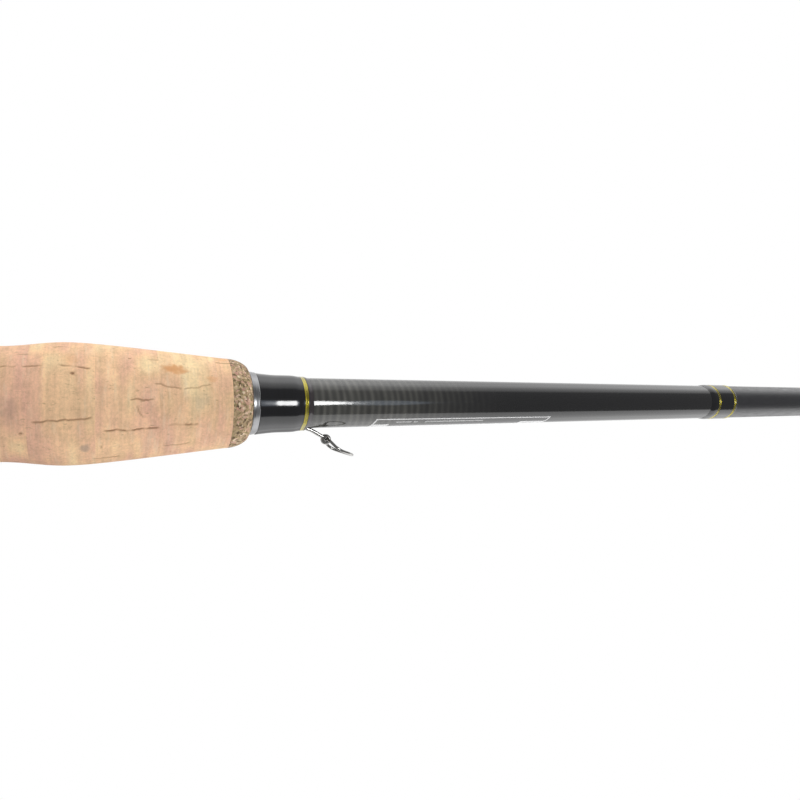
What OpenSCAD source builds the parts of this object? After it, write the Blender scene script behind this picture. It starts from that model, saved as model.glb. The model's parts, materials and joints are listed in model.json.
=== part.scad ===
// Two-piece spinning rod with a cork grip, a screw-down reel seat, a folding hook keeper and
// seven line guides. X runs from the butt to the tip along the blank's axis, the reel foot, the
// keeper and the guides are on the -Y side, and the origin is the centre of the butt's flat end.

/* [Blank] */
// Length of the assembled rod
rod_length = 2134; // [2120:1:2150]
// Diameter of the blank at the butt
blank_butt_d = 13.6; // [13.2:0.1:14]
// Diameter of the blank at the winding check
blank_check_d = 13; // [12.8:0.1:13.2]
// Diameter of the blank where its steep taper ends
blank_fore_d = 10.5; // [10.3:0.1:10.7]
// Length of the steep taper in front of the winding check
blank_fore_len = 194; // [180:1:210]
// Diameter of the butt section where the tip section starts
ferrule_d = 7.6; // [7.4:0.1:7.8]
// Diameter of the tip section at its open end
ferrule_outer_d = 9; // [8.8:0.1:9.4]
// Length of butt section that goes into the tip section
ferrule_overlap = 65; // [55:1:75]
// Radial clearance of the push fit in the ferrule
ferrule_clearance = 0.03; // [0.02:0.01:0.06]
// Diameter of the blank at its tip
blank_tip_d = 2; // [1.8:0.1:2.2]
// Wall of the hollow blank
blank_wall = 1; // [0.8:0.1:1.2]

/* [Rear grip] */
// Diameter of the rear grip and of the butt cap
grip_d = 25.4; // [25:0.1:26]
// Length of the rubber butt cap
butt_cap_len = 22; // [18:1:26]
// Thickness of the metal ring in front of the butt cap
butt_ring_len = 2; // [1.5:0.5:3]
// Length of one cork ring before turning
cork_len = 12.7; // [12.5:0.1:12.9]
// Number of cork rings in the rear grip
rear_rings = 17; // [14:1:18]
// Thickness of a dark burl ring
burl_len = 6.35; // [6:0.05:7]
// Width of the glue line between two rings
glue_gap = 0.08; // [0.04:0.02:0.12]

/* [Reel seat] */
// Diameter of the seat's barrel over its thread
barrel_d = 19.6; // [19.4:0.1:19.8]
// Inside diameter of the barrel
barrel_bore = 16.2; // [16:0.1:16.6]
// Length of the barrel
barrel_len = 118; // [116:1:122]
// Pitch of the barrel's thread
thread_pitch = 2.5; // [2:0.5:2.5]
// Length of the thread
thread_len = 60; // [55:2.5:60]
// Length of a hood
hood_len = 22; // [21:0.5:23]
// Depth of the pocket that takes the reel foot
pocket_depth = 15; // [14:0.5:16]
// Length of the lock nut
nut_len = 12.5; // [11:0.5:13]

/* [Foregrip] */
// Number of full cork rings in the foregrip
fore_rings = 7; // [7:1:7]
// Length of the part ring behind the front burl
fore_part_len = 3.37; // [3:0.01:4]
// Diameter at the reel seat
fore_rear_d = 24.8; // [24.6:0.1:25]
// Largest diameter, at the swell
fore_swell_d = 27.35; // [27:0.05:27.6]
// Distance from the winding check's front to the swell
fore_swell_s = 41; // [40:0.5:42]
// Length of the flare behind the swell
fore_flare_len = 14; // [13:0.5:15]
// Slope of the diameter in front of the swell
fore_slope = 0.2015; // [0.19:0.0005:0.21]
// Length over which the swell's top is rounded
fore_crown_len = 6; // [5:0.5:7]
// Length of the rounded front shoulder
fore_nose_len = 5.6; // [5.2:0.1:5.8]

/* [Winding check and wraps] */
// Length of the metal winding check
check_len = 1.9; // [1.7:0.1:2.1]
// Rear diameter of the winding check
check_rear_d = 15.3; // [15.1:0.1:15.5]
// Front diameter of the winding check
check_front_d = 14.7; // [14.5:0.1:14.9]
// Length of the black thread wrap at the winding check
butt_wrap_len = 11.04; // [10.5:0.02:12]
// Width of a gold thread band
gold_len = 1; // [0.8:0.1:1.2]
// Diameter of the wrap where it meets the check
butt_wrap_rear_d = 14.7; // [14.6:0.1:14.8]
// Diameter of the wrap at its front end
butt_wrap_front_d = 13.6; // [13.5:0.1:13.7]
// Distance from the check to the decorative wrap on the blank
trim_wrap_s = 150.2; // [145:0.1:152]
// Length of the decorative wrap
trim_wrap_len = 11.8; // [11:0.1:13]
// Thickness of thread and finish on the blank
wrap_t = 0.32; // [0.25:0.01:0.4]

/* [Hook keeper] */
// Distance from the check to the keeper's pivot
keeper_s = 18.3; // [18:0.1:19]
// Distance from the blank's axis to the keeper's pivot
keeper_y = 9.4; // [9.2:0.1:9.6]
// Width of the folding loop
keeper_w = 7.6; // [7:0.1:8]
// Diameter of the loop's wire
keeper_wire_d = 0.75; // [0.7:0.05:0.8]

/* [Guides] */
// Diameter of the tip-top's ring
tip_ring_d = 6; // [6:0.5:7]
// Length of the tip-top's tube
tip_tube_len = 14; // [12:0.5:16]

/* [Hidden] */
$fn = 96;
// Small gap between glued or pressed pieces
seat_gap = 0.03;
// Step of a rounded outline, in degrees
round_step = 15;

// Length of the front burl ring and the winding check together
fore_front_len = 6.93;
// How far the tip-top's ring stands in front of the blank
tip_reach = 3;
// Depth of the butt cap's end wall, and where the blank starts in it
cap_end_t = 4;
blank_start_x = cap_end_t + 0.3;

// Stations along the rod
butt_ring_x = butt_cap_len;
rear_burl_a_x = butt_ring_x + butt_ring_len;
rear_cork_x = rear_burl_a_x + burl_len;
rear_burl_b_x = rear_cork_x + rear_rings * cork_len;
seat_x = rear_burl_b_x + burl_len;
fore_x = seat_x + barrel_len;
fore_burl_x = fore_x + fore_rings * cork_len + fore_part_len;
check_x = fore_burl_x + fore_front_len;
fore_burl_len = check_x - check_len - fore_burl_x;
taper_x = check_x + blank_fore_len;
ferrule_x = rod_length / 2 - ferrule_overlap / 2;
ferrule_end_x = ferrule_x + ferrule_overlap;
tip_x = rod_length - tip_reach;

// Guides: [place along the rod, ring size, hole, height of the hole's centre, number of feet]
GUIDES = [
    [864, 30, 24, 33, 2],
    [1181, 20, 15.4, 22.5, 2],
    [1435, 12, 8.8, 14.5, 1],
    [1626, 10, 7.2, 12, 1],
    [1785, 8, 5.4, 9.8, 1],
    [1918, 7, 4.6, 8.6, 1],
    [2032, 6, 3.8, 7.4, 1]
];
guide_count = len(GUIDES);

// Taper inside and outside the ferrule, and how far the ferrule's outside taper goes on
ferrule_taper = 0.4;
ferrule_outer_taper = 0.7;
ferrule_run_out = 4;

// Outer diameters of the butt section and of the tip section along the rod
BUTT_TAPER = [
    [0, blank_butt_d], [check_x, blank_check_d], [taper_x, blank_fore_d],
    [ferrule_x, ferrule_d], [ferrule_end_x, ferrule_d - ferrule_taper]
];
TIP_TAPER = [
    [ferrule_x, ferrule_outer_d],
    [ferrule_end_x + ferrule_run_out, ferrule_outer_d - ferrule_outer_taper],
    [tip_x, blank_tip_d]
];
function butt_r(x) = lookup(x, BUTT_TAPER) / 2;
function tip_r(x) = lookup(x, TIP_TAPER) / 2;
function blank_r(x) = x < ferrule_x ? butt_r(x) : tip_r(x);

// Outline of the foregrip by distance behind the check's front face: a rear cylinder, a flare
// up to the swell, a hyperbola down to the nose, and a quarter ellipse at the nose
nose_r = check_rear_d / 2;
nose_s = check_len + fore_nose_len;
function crown_d(s) = fore_swell_d
    - fore_slope * (sqrt(pow(s - fore_swell_s, 2) + pow(fore_crown_len, 2)) - fore_crown_len);
function flare_d(s) = fore_swell_d
    - (fore_swell_d - fore_rear_d) * (1 - cos(180 * (s - fore_swell_s) / fore_flare_len)) / 2;
nose_h = crown_d(nose_s) / 2 - nose_r;
function fore_r(s) =
    s > fore_swell_s + fore_flare_len ? fore_rear_d / 2
    : s > fore_swell_s ? flare_d(s) / 2
    : s > nose_s ? crown_d(s) / 2
    : nose_r + nose_h * sqrt(max(0, 1 - pow((nose_s - s) / fore_nose_len, 2)));

// Reel seat
barrel_r = barrel_d / 2;
thread_x = seat_x + 3;
thread_depth = 0.8;
// The flat under the reel foot, by its distance from the axis
foot_flat_y = barrel_r - 0.6;
// Radial and end clearance of the parts that slide on the barrel
slide_gap = 0.1;
// Radii of a hood's collar, of its bulge and of the pocket in the bulge
hood_r = barrel_r + 2.4;
bulge_r = 11.2;
pocket_r = 10.2;
// How far the bulge's centre lies towards the reel foot
bulge_drop = 5.2;
liner_t = 0.8;
liner_start = 0.6;
keyway_w = 2;
keyway_depth = 0.8;
// How far the keyway runs on past the thread
keyway_run_out = 8;
// Clearance round the key
key_gap = 0.2;
key_x = 2;
key_len = 12;
fixed_hood_x = fore_x - hood_len;
nut_x = seat_x + 7;
slip_x = nut_x + nut_len + slide_gap;
slip_len = 1;
// How much smaller than the hood the slip ring is
slip_step = 0.3;
sliding_hood_x = slip_x + slip_len + slide_gap;

// Size rules of a guide, by its ring size
function ring_w(size) = 1.2 + 0.04 * size;
function holder_t(size) = 0.5 + 0.014 * size;
function leg_r(size) = 0.42 + 0.012 * size;
function foot_len(size) = 7 + 0.25 * size;
function foot_w(size) = 1.4 + 0.03 * size;
function foot_t(size) = 0.45 + 0.008 * size;
function leg_span(size) = 2.5 + 0.48 * size;
// A rear pair of legs reaches further than a front pair
rear_reach = 1.3;
function rear_span(size) = rear_reach * leg_span(size);
// How far the legs run into the start of the foot
foot_lap = 0.2;
// How much of a foot's start stays outside its wrap, and how far the wrap goes past its end
wrap_cover = 1.8;
wrap_tail = 2.5;

RING_NAMES = [for (i = [1:fore_rings]) str("fore_cork_ring_", i)];
GUIDE_NAMES = [
    for (part = ["frame", "ring", "wrap"])
        for (i = [1:guide_count]) str("guide_", part, "_", i)
];

// ---- shared shapes ----

// A solid of revolution about X from [x, radius] points
module turned(points) {
    rotate([0, 90, 0])
        rotate_extrude()
            polygon([for (p = points) [p[1], p[0]]]);
}

// A sleeve from x0 to x1, with the outer and inner radius at each end
module sleeve(x0, x1, r0, r1, bore0, bore1) {
    turned([[x0, bore0], [x0, r0], [x1, r1], [x1, bore1]]);
}

// A sleeve on the blank, with the radius at each end
module blank_sleeve(x0, x1, r0, r1) {
    sleeve(x0, x1, r0, r1, blank_r(x0) + seat_gap, blank_r(x1) + seat_gap);
}

// A flat outline drawn out along X
module along_x(x0, length) {
    translate([x0, 0, 0])
        rotate([0, 90, 0])
            linear_extrude(height = length)
                children();
}

// A cylinder along X at a height above the axis
module rod_x(x0, length, r, y = 0) {
    translate([x0, y, 0])
        rotate([0, 90, 0])
            cylinder(h = length, r = r);
}

// A round bar between two points
module bar(p, q, r) {
    d = q - p;
    span = norm(d);
    translate(p)
        rotate([0, acos(d[2] / span), atan2(d[1], d[0])])
            cylinder(h = span, r = r);
}

// The blank's own space from x0 to x1, with the gap of what sits on it
module blank_core(x0, x1) {
    turned([[x0, 0], [x0, blank_r(x0) + seat_gap], [x1, blank_r(x1) + seat_gap], [x1, 0]]);
}

// A cylinder along Z at a place in the XY plane
module pin_z(x, y, length, r) {
    translate([x, y, -length / 2])
        cylinder(h = length, r = r);
}

// ---- rear grip ----

cap_edge = 2.5;
cap_gap = 0.1;

module butt_cap() {
    r = grip_d / 2;
    bore = blank_r(0) + cap_gap;
    color([0.07, 0.07, 0.07])
        turned(concat(
            [[0, 0]],
            [for (a = [0:round_step:90]) [cap_edge * (1 - cos(a)), r - cap_edge * (1 - sin(a))]],
            [[butt_cap_len, r], [butt_cap_len, bore]],
            [[cap_end_t, bore], [cap_end_t, 0]]
        ));
}

module butt_trim_ring() {
    color([0.75, 0.76, 0.78])
        blank_sleeve(butt_ring_x + seat_gap, rear_burl_a_x - seat_gap, grip_d / 2, grip_d / 2);
}

module rear_ring(x0, x1) {
    blank_sleeve(x0 + glue_gap / 2, x1 - glue_gap / 2, grip_d / 2, grip_d / 2);
}

module rear_burl_ring_a() {
    color([0.45, 0.32, 0.2])
        rear_ring(rear_burl_a_x, rear_cork_x);
}

module rear_cork_rings() {
    color([0.82, 0.63, 0.43])
        for (i = [0:rear_rings - 1])
            rear_ring(rear_cork_x + i * cork_len, rear_cork_x + (i + 1) * cork_len);
}

module rear_burl_ring_b() {
    color([0.45, 0.32, 0.2])
        rear_ring(rear_burl_b_x, seat_x);
}

// ---- reel seat ----

// Trapezoid thread as [x, radius] points
function thread_points() = [
    for (i = [0:thread_len / thread_pitch - 1])
        for (p = [[0, 1], [0.25, 0], [0.5, 0], [0.75, 1]])
            [thread_x + (i + p[0]) * thread_pitch, barrel_r - thread_depth * p[1]]
];

module reel_seat_barrel() {
    x0 = seat_x + seat_gap;
    x1 = fore_x - seat_gap;
    color([0.1, 0.1, 0.11])
        difference() {
            turned(concat(
                [[x0, barrel_bore / 2], [x0, barrel_r - thread_depth]],
                thread_points(),
                [[thread_x + thread_len, barrel_r - thread_depth], [thread_x + thread_len, barrel_r]],
                [[x1, barrel_r], [x1, barrel_bore / 2]]
            ));
            // Flat under the reel foot
            translate([x0 - 1, -barrel_r - 5, -barrel_r])
                cube([barrel_len + 2, 5 + barrel_r - foot_flat_y, 2 * barrel_r]);
            // Keyway that keeps the sliding hood in line
            translate([x0 - 1, barrel_r - keyway_depth, -keyway_w / 2])
                cube([thread_len + keyway_run_out, 2, keyway_w]);
        }
}

arbor_count = 4;
arbor_len = 16;
// Distance from the barrel's ends to the first and last arbor
arbor_inset = 0.5;

module seat_arbors() {
    step = (barrel_len - arbor_len - 2 * arbor_inset) / (arbor_count - 1);
    r = barrel_bore / 2 - seat_gap;
    color([0.75, 0.7, 0.55])
        for (i = [0:arbor_count - 1])
            let (x0 = seat_x + arbor_inset + i * step)
                blank_sleeve(x0, x0 + arbor_len, r, r);
}

// Outline of a hood: a collar with a rounded bulge over the reel foot
module hood_outline() {
    circle(r = hood_r);
    translate([0, -bulge_drop])
        circle(r = bulge_r);
}

// Outline of the space over the foot flat, out to radius r from the bulge's centre
module pocket_outline(r) {
    intersection() {
        translate([0, -bulge_drop])
            circle(r = r);
        translate([-2 * r, -bulge_drop - 2 * r])
            square([4 * r, 2 * r + bulge_drop - foot_flat_y]);
    }
}

// Radii at the two ends of the cones that trim a hood, about the bulge's centre and the axis
bulge_cone = [hood_r + bulge_drop + 8, hood_r + bulge_drop - 1.5];
axis_cone = [26, 13.4];
// How far the cones reach past the hood's ends
cone_over = 0.01;

// A cone along X at a height above the axis, with its two end radii
module cone_x(x0, length, radii, y) {
    translate([x0, y, 0])
        rotate([0, 90, 0])
            cylinder(h = length, r1 = radii[0], r2 = radii[1]);
}

// A hood with its mouth at x0 and its closed end towards +X
module hood_body(x0, bore_r) {
    difference() {
        intersection() {
            along_x(x0, hood_len)
                hood_outline();
            // The bulge falls away towards the closed end
            cone_x(x0 - cone_over, hood_len + 2 * cone_over, bulge_cone, -bulge_drop);
            cone_x(x0 - cone_over, hood_len + 2 * cone_over, axis_cone, 0);
        }
        rod_x(x0 - 1, hood_len + 2, bore_r);
        along_x(x0 - 1, pocket_depth + 1)
            pocket_outline(pocket_r);
    }
}

module hood_liner(x0) {
    along_x(x0 + liner_start, pocket_depth - liner_start - seat_gap)
        difference() {
            pocket_outline(pocket_r - seat_gap);
            pocket_outline(pocket_r - liner_t);
            circle(r = barrel_r + 2 * slide_gap);
        }
}

// Mirrors its children end for end about the middle of a hood that starts at x0
module turned_end(x0) {
    translate([2 * x0 + hood_len, 0, 0])
        mirror([1, 0, 0])
            children();
}

module fixed_hood() {
    color([0.13, 0.13, 0.14])
        translate([-seat_gap, 0, 0])
            hood_body(fixed_hood_x, barrel_r + seat_gap);
}

module fixed_hood_liner() {
    color([0.3, 0.3, 0.31])
        translate([-seat_gap, 0, 0])
            hood_liner(fixed_hood_x);
}

module sliding_hood() {
    color([0.13, 0.13, 0.14]) {
        turned_end(sliding_hood_x)
            hood_body(sliding_hood_x, barrel_r + slide_gap);
        // Key in the barrel's keyway
        translate([sliding_hood_x + key_x, barrel_r - keyway_depth + key_gap, key_gap - keyway_w / 2])
            cube([key_len, keyway_depth + key_gap, keyway_w - 2 * key_gap]);
    }
}

module sliding_hood_liner() {
    color([0.3, 0.3, 0.31])
        turned_end(sliding_hood_x)
            hood_liner(sliding_hood_x);
}

module slip_ring() {
    r = hood_r - slip_step;
    bore = barrel_r + slide_gap;
    color([0.75, 0.76, 0.78])
        sleeve(slip_x, slip_x + slip_len, r, r, bore, bore);
}

knurl_count = 24;
knurl_r = 1;
// Distance from the nut's ends to the knurls
knurl_inset = 2;
nut_edge = 1;
nut_step = 0.2;
nut_gap = 0.08;

module lock_nut() {
    r = hood_r + nut_step;
    bore = barrel_r + nut_gap;
    x1 = nut_x + nut_len;
    color([0.16, 0.16, 0.17])
        difference() {
            turned([
                [nut_x, bore], [nut_x, r - nut_edge], [nut_x + nut_edge, r],
                [x1 - nut_edge, r], [x1, r - nut_edge], [x1, bore]
            ]);
            for (i = [0:knurl_count - 1])
                rotate([i * 360 / knurl_count, 0, 0])
                    rod_x(nut_x + knurl_inset, nut_len - 2 * knurl_inset, knurl_r, r + knurl_r * 0.45);
        }
}

// ---- foregrip ----

// A turned foregrip ring between two distances behind the check
module fore_ring(s0, s1, steps) {
    a = s0 - glue_gap / 2;
    b = s1 + glue_gap / 2;
    turned(concat(
        [[check_x - a, blank_r(check_x - a) + seat_gap]],
        [for (i = [0:steps]) let (s = a + (b - a) * i / steps) [check_x - s, fore_r(s)]],
        [[check_x - b, blank_r(check_x - b) + seat_gap]]
    ));
}

module fore_cork_ring(i) {
    s0 = check_x - fore_x - i * cork_len;
    color([0.83 - 0.02 * (i % 2), 0.64, 0.44])
        fore_ring(s0, s0 - cork_len, 8);
}

module fore_cork_part_ring() {
    s0 = check_x - fore_burl_x + fore_part_len;
    color([0.83, 0.64, 0.44])
        fore_ring(s0, s0 - fore_part_len, 3);
}

module fore_burl_ring() {
    color([0.45, 0.32, 0.2])
        fore_ring(check_len + fore_burl_len, check_len + seat_gap, 12);
}

check_edge = 0.4;

module winding_check() {
    x0 = check_x - check_len + seat_gap;
    r0 = check_rear_d / 2;
    r1 = check_front_d / 2;
    color([0.8, 0.81, 0.83])
        turned([
            [x0, blank_r(x0) + seat_gap], [x0, r0 - check_edge / 2], [x0 + check_edge / 2, r0],
            [check_x - check_edge, r1 + 0.1], [check_x - seat_gap, r1 - check_edge],
            [check_x - seat_gap, blank_r(check_x) + seat_gap]
        ]);
}

// ---- wraps ----

// The wrap's radius at a distance in front of the check
function butt_wrap_r(s) =
    (butt_wrap_rear_d
    + (butt_wrap_front_d - butt_wrap_rear_d) * s / (butt_wrap_len + gold_len)) / 2;

module butt_wrap_black() {
    color([0.04, 0.04, 0.05])
        difference() {
            blank_sleeve(check_x, check_x + butt_wrap_len, butt_wrap_r(0), butt_wrap_r(butt_wrap_len));
            keeper_foot(seat_gap);
        }
}

module butt_wrap_gold() {
    x0 = check_x + butt_wrap_len;
    s1 = butt_wrap_len + gold_len;
    color([0.8, 0.7, 0.2])
        difference() {
            blank_sleeve(x0, x0 + gold_len, butt_wrap_r(butt_wrap_len), butt_wrap_r(s1));
            keeper_foot(seat_gap);
        }
}

// A plain wrap on the blank
module plain_wrap(x0, x1) {
    blank_sleeve(x0, x1, blank_r(x0) + wrap_t, blank_r(x1) + wrap_t);
}

trim_x = check_x + trim_wrap_s;
// The two gold bands in the decorative wrap
trim_gold_a = trim_x + 3;
trim_gold_b = trim_gold_a + gold_len + 6;

module trim_wrap_black() {
    color([0.04, 0.04, 0.05]) {
        plain_wrap(trim_x, trim_gold_a);
        plain_wrap(trim_gold_a + gold_len, trim_gold_b);
        plain_wrap(trim_gold_b + gold_len, trim_x + trim_wrap_len);
    }
}

module trim_wrap_gold() {
    color([0.8, 0.7, 0.2]) {
        plain_wrap(trim_gold_a, trim_gold_a + gold_len);
        plain_wrap(trim_gold_b, trim_gold_b + gold_len);
    }
}

ferrule_wrap_x = ferrule_x + 1;
ferrule_wrap_len = 24;

module ferrule_wrap_black() {
    color([0.04, 0.04, 0.05])
        plain_wrap(ferrule_wrap_x, ferrule_wrap_x + ferrule_wrap_len);
}

module ferrule_wrap_gold() {
    x0 = ferrule_wrap_x + ferrule_wrap_len;
    color([0.8, 0.7, 0.2])
        plain_wrap(x0, x0 + gold_len);
}

// ---- hook keeper ----

keeper_x = check_x + keeper_s;
// The foot's two ends in front of the check, its width and its thickness
keeper_foot_s = 4.5;
keeper_root_s = 13.4;
keeper_foot_w = 2.4;
keeper_foot_t = 0.22;
// The eye, and the loop's pin in it
keeper_eye_r = 1.35;
keeper_eye_w = 2.6;
keeper_pin_r = 0.5;
keeper_pin_gap = 0.06;
// The two arms from the foot to the eye: wire radius, place across, and overlap with each end
keeper_arm_r = 0.42;
keeper_arm_z = 0.65;
keeper_arm_lap = 0.4;
keeper_arm_drop = 0.6;
// The loop's bend and its end, from the pivot
keeper_bend = [2.5, -2.5];
keeper_end = [7.2, -4.3];

// The strip under the wrap, with the blank's space still in it, grown by t
module keeper_foot(t) {
    x0 = check_x + keeper_foot_s - t;
    x1 = check_x + keeper_root_s + t;
    rise = seat_gap + keeper_foot_t + t;
    intersection() {
        turned([[x0, 0], [x0, butt_r(x0) + rise], [x1, butt_r(x1) + rise], [x1, 0]]);
        translate([x0 - 1, -butt_r(x0) - 2, -keeper_foot_w / 2 - t])
            cube([x1 - x0 + 2, 4, keeper_foot_w + 2 * t]);
    }
}

module keeper_bracket() {
    root_x = check_x + keeper_root_s;
    root_y = -butt_r(root_x) - seat_gap - keeper_arm_r;
    color([0.8, 0.8, 0.8])
        difference() {
            union() {
                difference() {
                    keeper_foot(0);
                    blank_core(check_x, root_x + 2);
                }
                for (z = [-keeper_arm_z, keeper_arm_z])
                    bar(
                        [root_x - keeper_arm_lap, root_y, z],
                        [keeper_x - keeper_arm_lap, keeper_arm_drop - keeper_y, z], keeper_arm_r
                    );
                pin_z(keeper_x, -keeper_y, keeper_eye_w, keeper_eye_r);
            }
            pin_z(keeper_x, -keeper_y, keeper_eye_w + 2, keeper_pin_r + keeper_pin_gap);
        }
}

// The loop: a pin through the eye, two bent arms and a bar across their ends
module keeper_loop() {
    r = keeper_wire_d / 2;
    z = keeper_w / 2 - r;
    bend = [keeper_x, -keeper_y] + keeper_bend;
    end = [keeper_x, -keeper_y] + keeper_end;
    // The inner arm runs a little past the bend, into the slightly thicker outer one
    lap = 0.2;
    step = 0.02;
    color([0.8, 0.8, 0.8]) {
        pin_z(keeper_x, -keeper_y, keeper_w - lap, keeper_pin_r);
        for (side = [-1, 1]) {
            bar([keeper_x, -keeper_y, side * z], [bend[0] + lap, bend[1] - lap, side * z], r);
            bar([bend[0] - lap, bend[1] + 4 * step, side * z], [end[0], end[1], side * z], r + step);
        }
        pin_z(end[0] - lap / 2, end[1], keeper_w, r + 2 * step);
    }
}

// ---- blank ----

// Wall of the tip section at its small end
tip_wall = 0.45;
// Length of the tip that is solid
tip_solid_len = 74;

module butt_blank() {
    stations = [blank_start_x, check_x, taper_x, ferrule_x, ferrule_end_x];
    color([0.13, 0.13, 0.14])
        turned(concat(
            [for (x = stations) [x, butt_r(x)]],
            [for (i = [4:-1:0]) [stations[i], butt_r(stations[i]) - blank_wall]]
        ));
}

module tip_blank() {
    // The socket ends a little in front of the butt section
    step_x = ferrule_end_x + ferrule_run_out / 2;
    bore_x = ferrule_end_x + ferrule_run_out;
    bore_end_x = rod_length - tip_solid_len;
    color([0.13, 0.13, 0.14])
        turned([
            [ferrule_x, tip_r(ferrule_x)], [bore_x, tip_r(bore_x)], [tip_x, tip_r(tip_x)], [tip_x, 0],
            [bore_end_x, 0], [bore_end_x, tip_r(bore_end_x) - tip_wall],
            [step_x, butt_r(ferrule_end_x) - ferrule_taper / 2],
            [step_x, butt_r(ferrule_end_x) + ferrule_clearance],
            [ferrule_end_x, butt_r(ferrule_end_x) + ferrule_clearance],
            [ferrule_x, butt_r(ferrule_x) + ferrule_clearance]
        ]);
}

// ---- guides ----

// Share of the ceramic ring's thickness that is rounded
ring_round = 0.6;
// How far the ceramic ring stands out of its metal holder on each side
ring_proud = 0.15;
holder_edge = 0.25;

// The ceramic ring, rounded towards its hole
module line_ring(x, y, size, hole) {
    r_out = size / 2;
    r_in = hole / 2;
    w = ring_w(size) / 2;
    lip = ring_round * (r_out - r_in);
    translate([x, y, 0])
        turned(concat(
            [for (a = [-90:round_step:90]) [w * sin(a), r_in + lip * (1 - cos(a))]],
            [[w, r_out], [-w, r_out]]
        ));
}

// The disc that becomes the metal ring once the ceramic ring's hole is cut
module holder_disc(x, y, size) {
    w = ring_w(size) / 2 - ring_proud;
    r = size / 2 + holder_t(size);
    e = holder_edge;
    translate([x, y, 0])
        turned([[-w, 0], [-w, r - e], [-w + e, r], [w - e, r], [w, r - e], [w, 0]]);
}

// The height of a foot's underside above the axis, for a foot from x0 towards dir
function foot_base(x0, dir, size) = blank_r(min(x0, x0 + dir * foot_len(size))) + seat_gap;

// One foot on the blank from x0 towards dir
module foot(x0, dir, size) {
    near = min(x0, x0 + dir * foot_len(size));
    translate([near, -foot_base(x0, dir, size) - foot_t(size), -foot_w(size) / 2])
        cube([foot_len(size), foot_t(size), foot_w(size)]);
}

// The slot that a foot needs in its wrap, down into the blank's space
module foot_slot(x0, dir, size) {
    near = min(x0, x0 + dir * foot_len(size)) - seat_gap;
    base = foot_base(x0, dir, size);
    width = foot_w(size) + 2 * seat_gap;
    translate([near, -base - foot_t(size) - seat_gap, -width / 2])
        cube([foot_len(size) + 2 * seat_gap, foot_t(size) + base, width]);
}

// Where the front and the rear legs meet the ring holder, in degrees from its far side
front_leg_angle = 35;
rear_leg_angle = 60;
// Least distance of a leg's foot end from the middle
leg_inset = 0.05;

// Two legs from the ring holder to the start of a foot
module leg_pair(x, y, size, x0, angle) {
    r = leg_r(size);
    ring_r = size / 2 + holder_t(size) / 2;
    foot_y = -blank_r(x0) - seat_gap - r;
    for (side = [-1, 1])
        bar(
            [x, y + ring_r * cos(angle), side * ring_r * sin(angle)],
            [x0, foot_y, side * max(leg_inset, foot_w(size) / 2 - r)], r
        );
}

module guide_frame(i) {
    x = GUIDES[i][0];
    size = GUIDES[i][1];
    y = -GUIDES[i][3];
    span = leg_span(size);
    color([0.55, 0.56, 0.58])
        difference() {
            union() {
                holder_disc(x, y, size);
                leg_pair(x, y, size, x + span, front_leg_angle);
                foot(x + span - foot_lap, 1, size);
                if (GUIDES[i][4] == 2) {
                    leg_pair(x, y, size, x - rear_span(size), rear_leg_angle);
                    foot(x - rear_span(size) + foot_lap, -1, size);
                }
            }
            rod_x(x - size, 2 * size, size / 2 + seat_gap, y);
        }
}

module guide_ring(i) {
    color([0.1, 0.1, 0.12])
        line_ring(GUIDES[i][0], -GUIDES[i][3], GUIDES[i][1], GUIDES[i][2]);
}

// The thread wrap over one foot: a sleeve set off-centre, so that it is thicker over the foot
module foot_wrap(x0, dir, size) {
    start = x0 + dir * wrap_cover;
    end = x0 + dir * (foot_len(size) + wrap_tail);
    a = min(start, end);
    b = max(start, end);
    rise = wrap_t + foot_t(size) / 2;
    difference() {
        translate([0, -foot_t(size) / 2, 0])
            turned([[a, 0], [a, blank_r(a) + rise], [b, blank_r(b) + rise], [b, 0]]);
        blank_core(a - 1, b + 1);
        foot_slot(x0, dir, size);
    }
}

module guide_wrap(i) {
    x = GUIDES[i][0];
    size = GUIDES[i][1];
    color([0.04, 0.04, 0.05]) {
        foot_wrap(x + leg_span(size) - foot_lap, 1, size);
        if (GUIDES[i][4] == 2)
            foot_wrap(x - rear_span(size) + foot_lap, -1, size);
    }
}

// The gold bands at the outer ends of one guide's wraps
module guide_bands(g) {
    front = g[0] + leg_span(g[1]) - foot_lap + foot_len(g[1]) + wrap_tail;
    plain_wrap(front, front + gold_len);
    if (g[4] == 2) {
        rear = g[0] - rear_span(g[1]) + foot_lap - foot_len(g[1]) - wrap_tail;
        plain_wrap(rear - gold_len, rear);
    }
}

module butt_guide_gold() {
    color([0.8, 0.7, 0.2])
        guide_bands(GUIDES[0]);
}

module tip_guide_gold() {
    color([0.8, 0.7, 0.2])
        for (i = [1:guide_count - 1])
            guide_bands(GUIDES[i]);
}

// ---- tip-top ----

tip_hole_d = 3.8;
tip_tube_r = blank_tip_d / 2 + 0.65;
tip_tube_x = tip_x + 0.3 - tip_tube_len;
tip_leg_r = 0.5;
tip_ring_x = rod_length - ring_w(tip_ring_d) / 2;
tip_ring_y = tip_leg_r - tip_tube_r - tip_ring_d / 2 - holder_t(tip_ring_d);
tip_wrap_len = 6;
// Where the side legs leave the tube and meet the ring
tip_leg_x = tip_x - tip_tube_len + 3;
tip_leg_low = 0.35;
tip_leg_side = 0.93;

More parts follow.
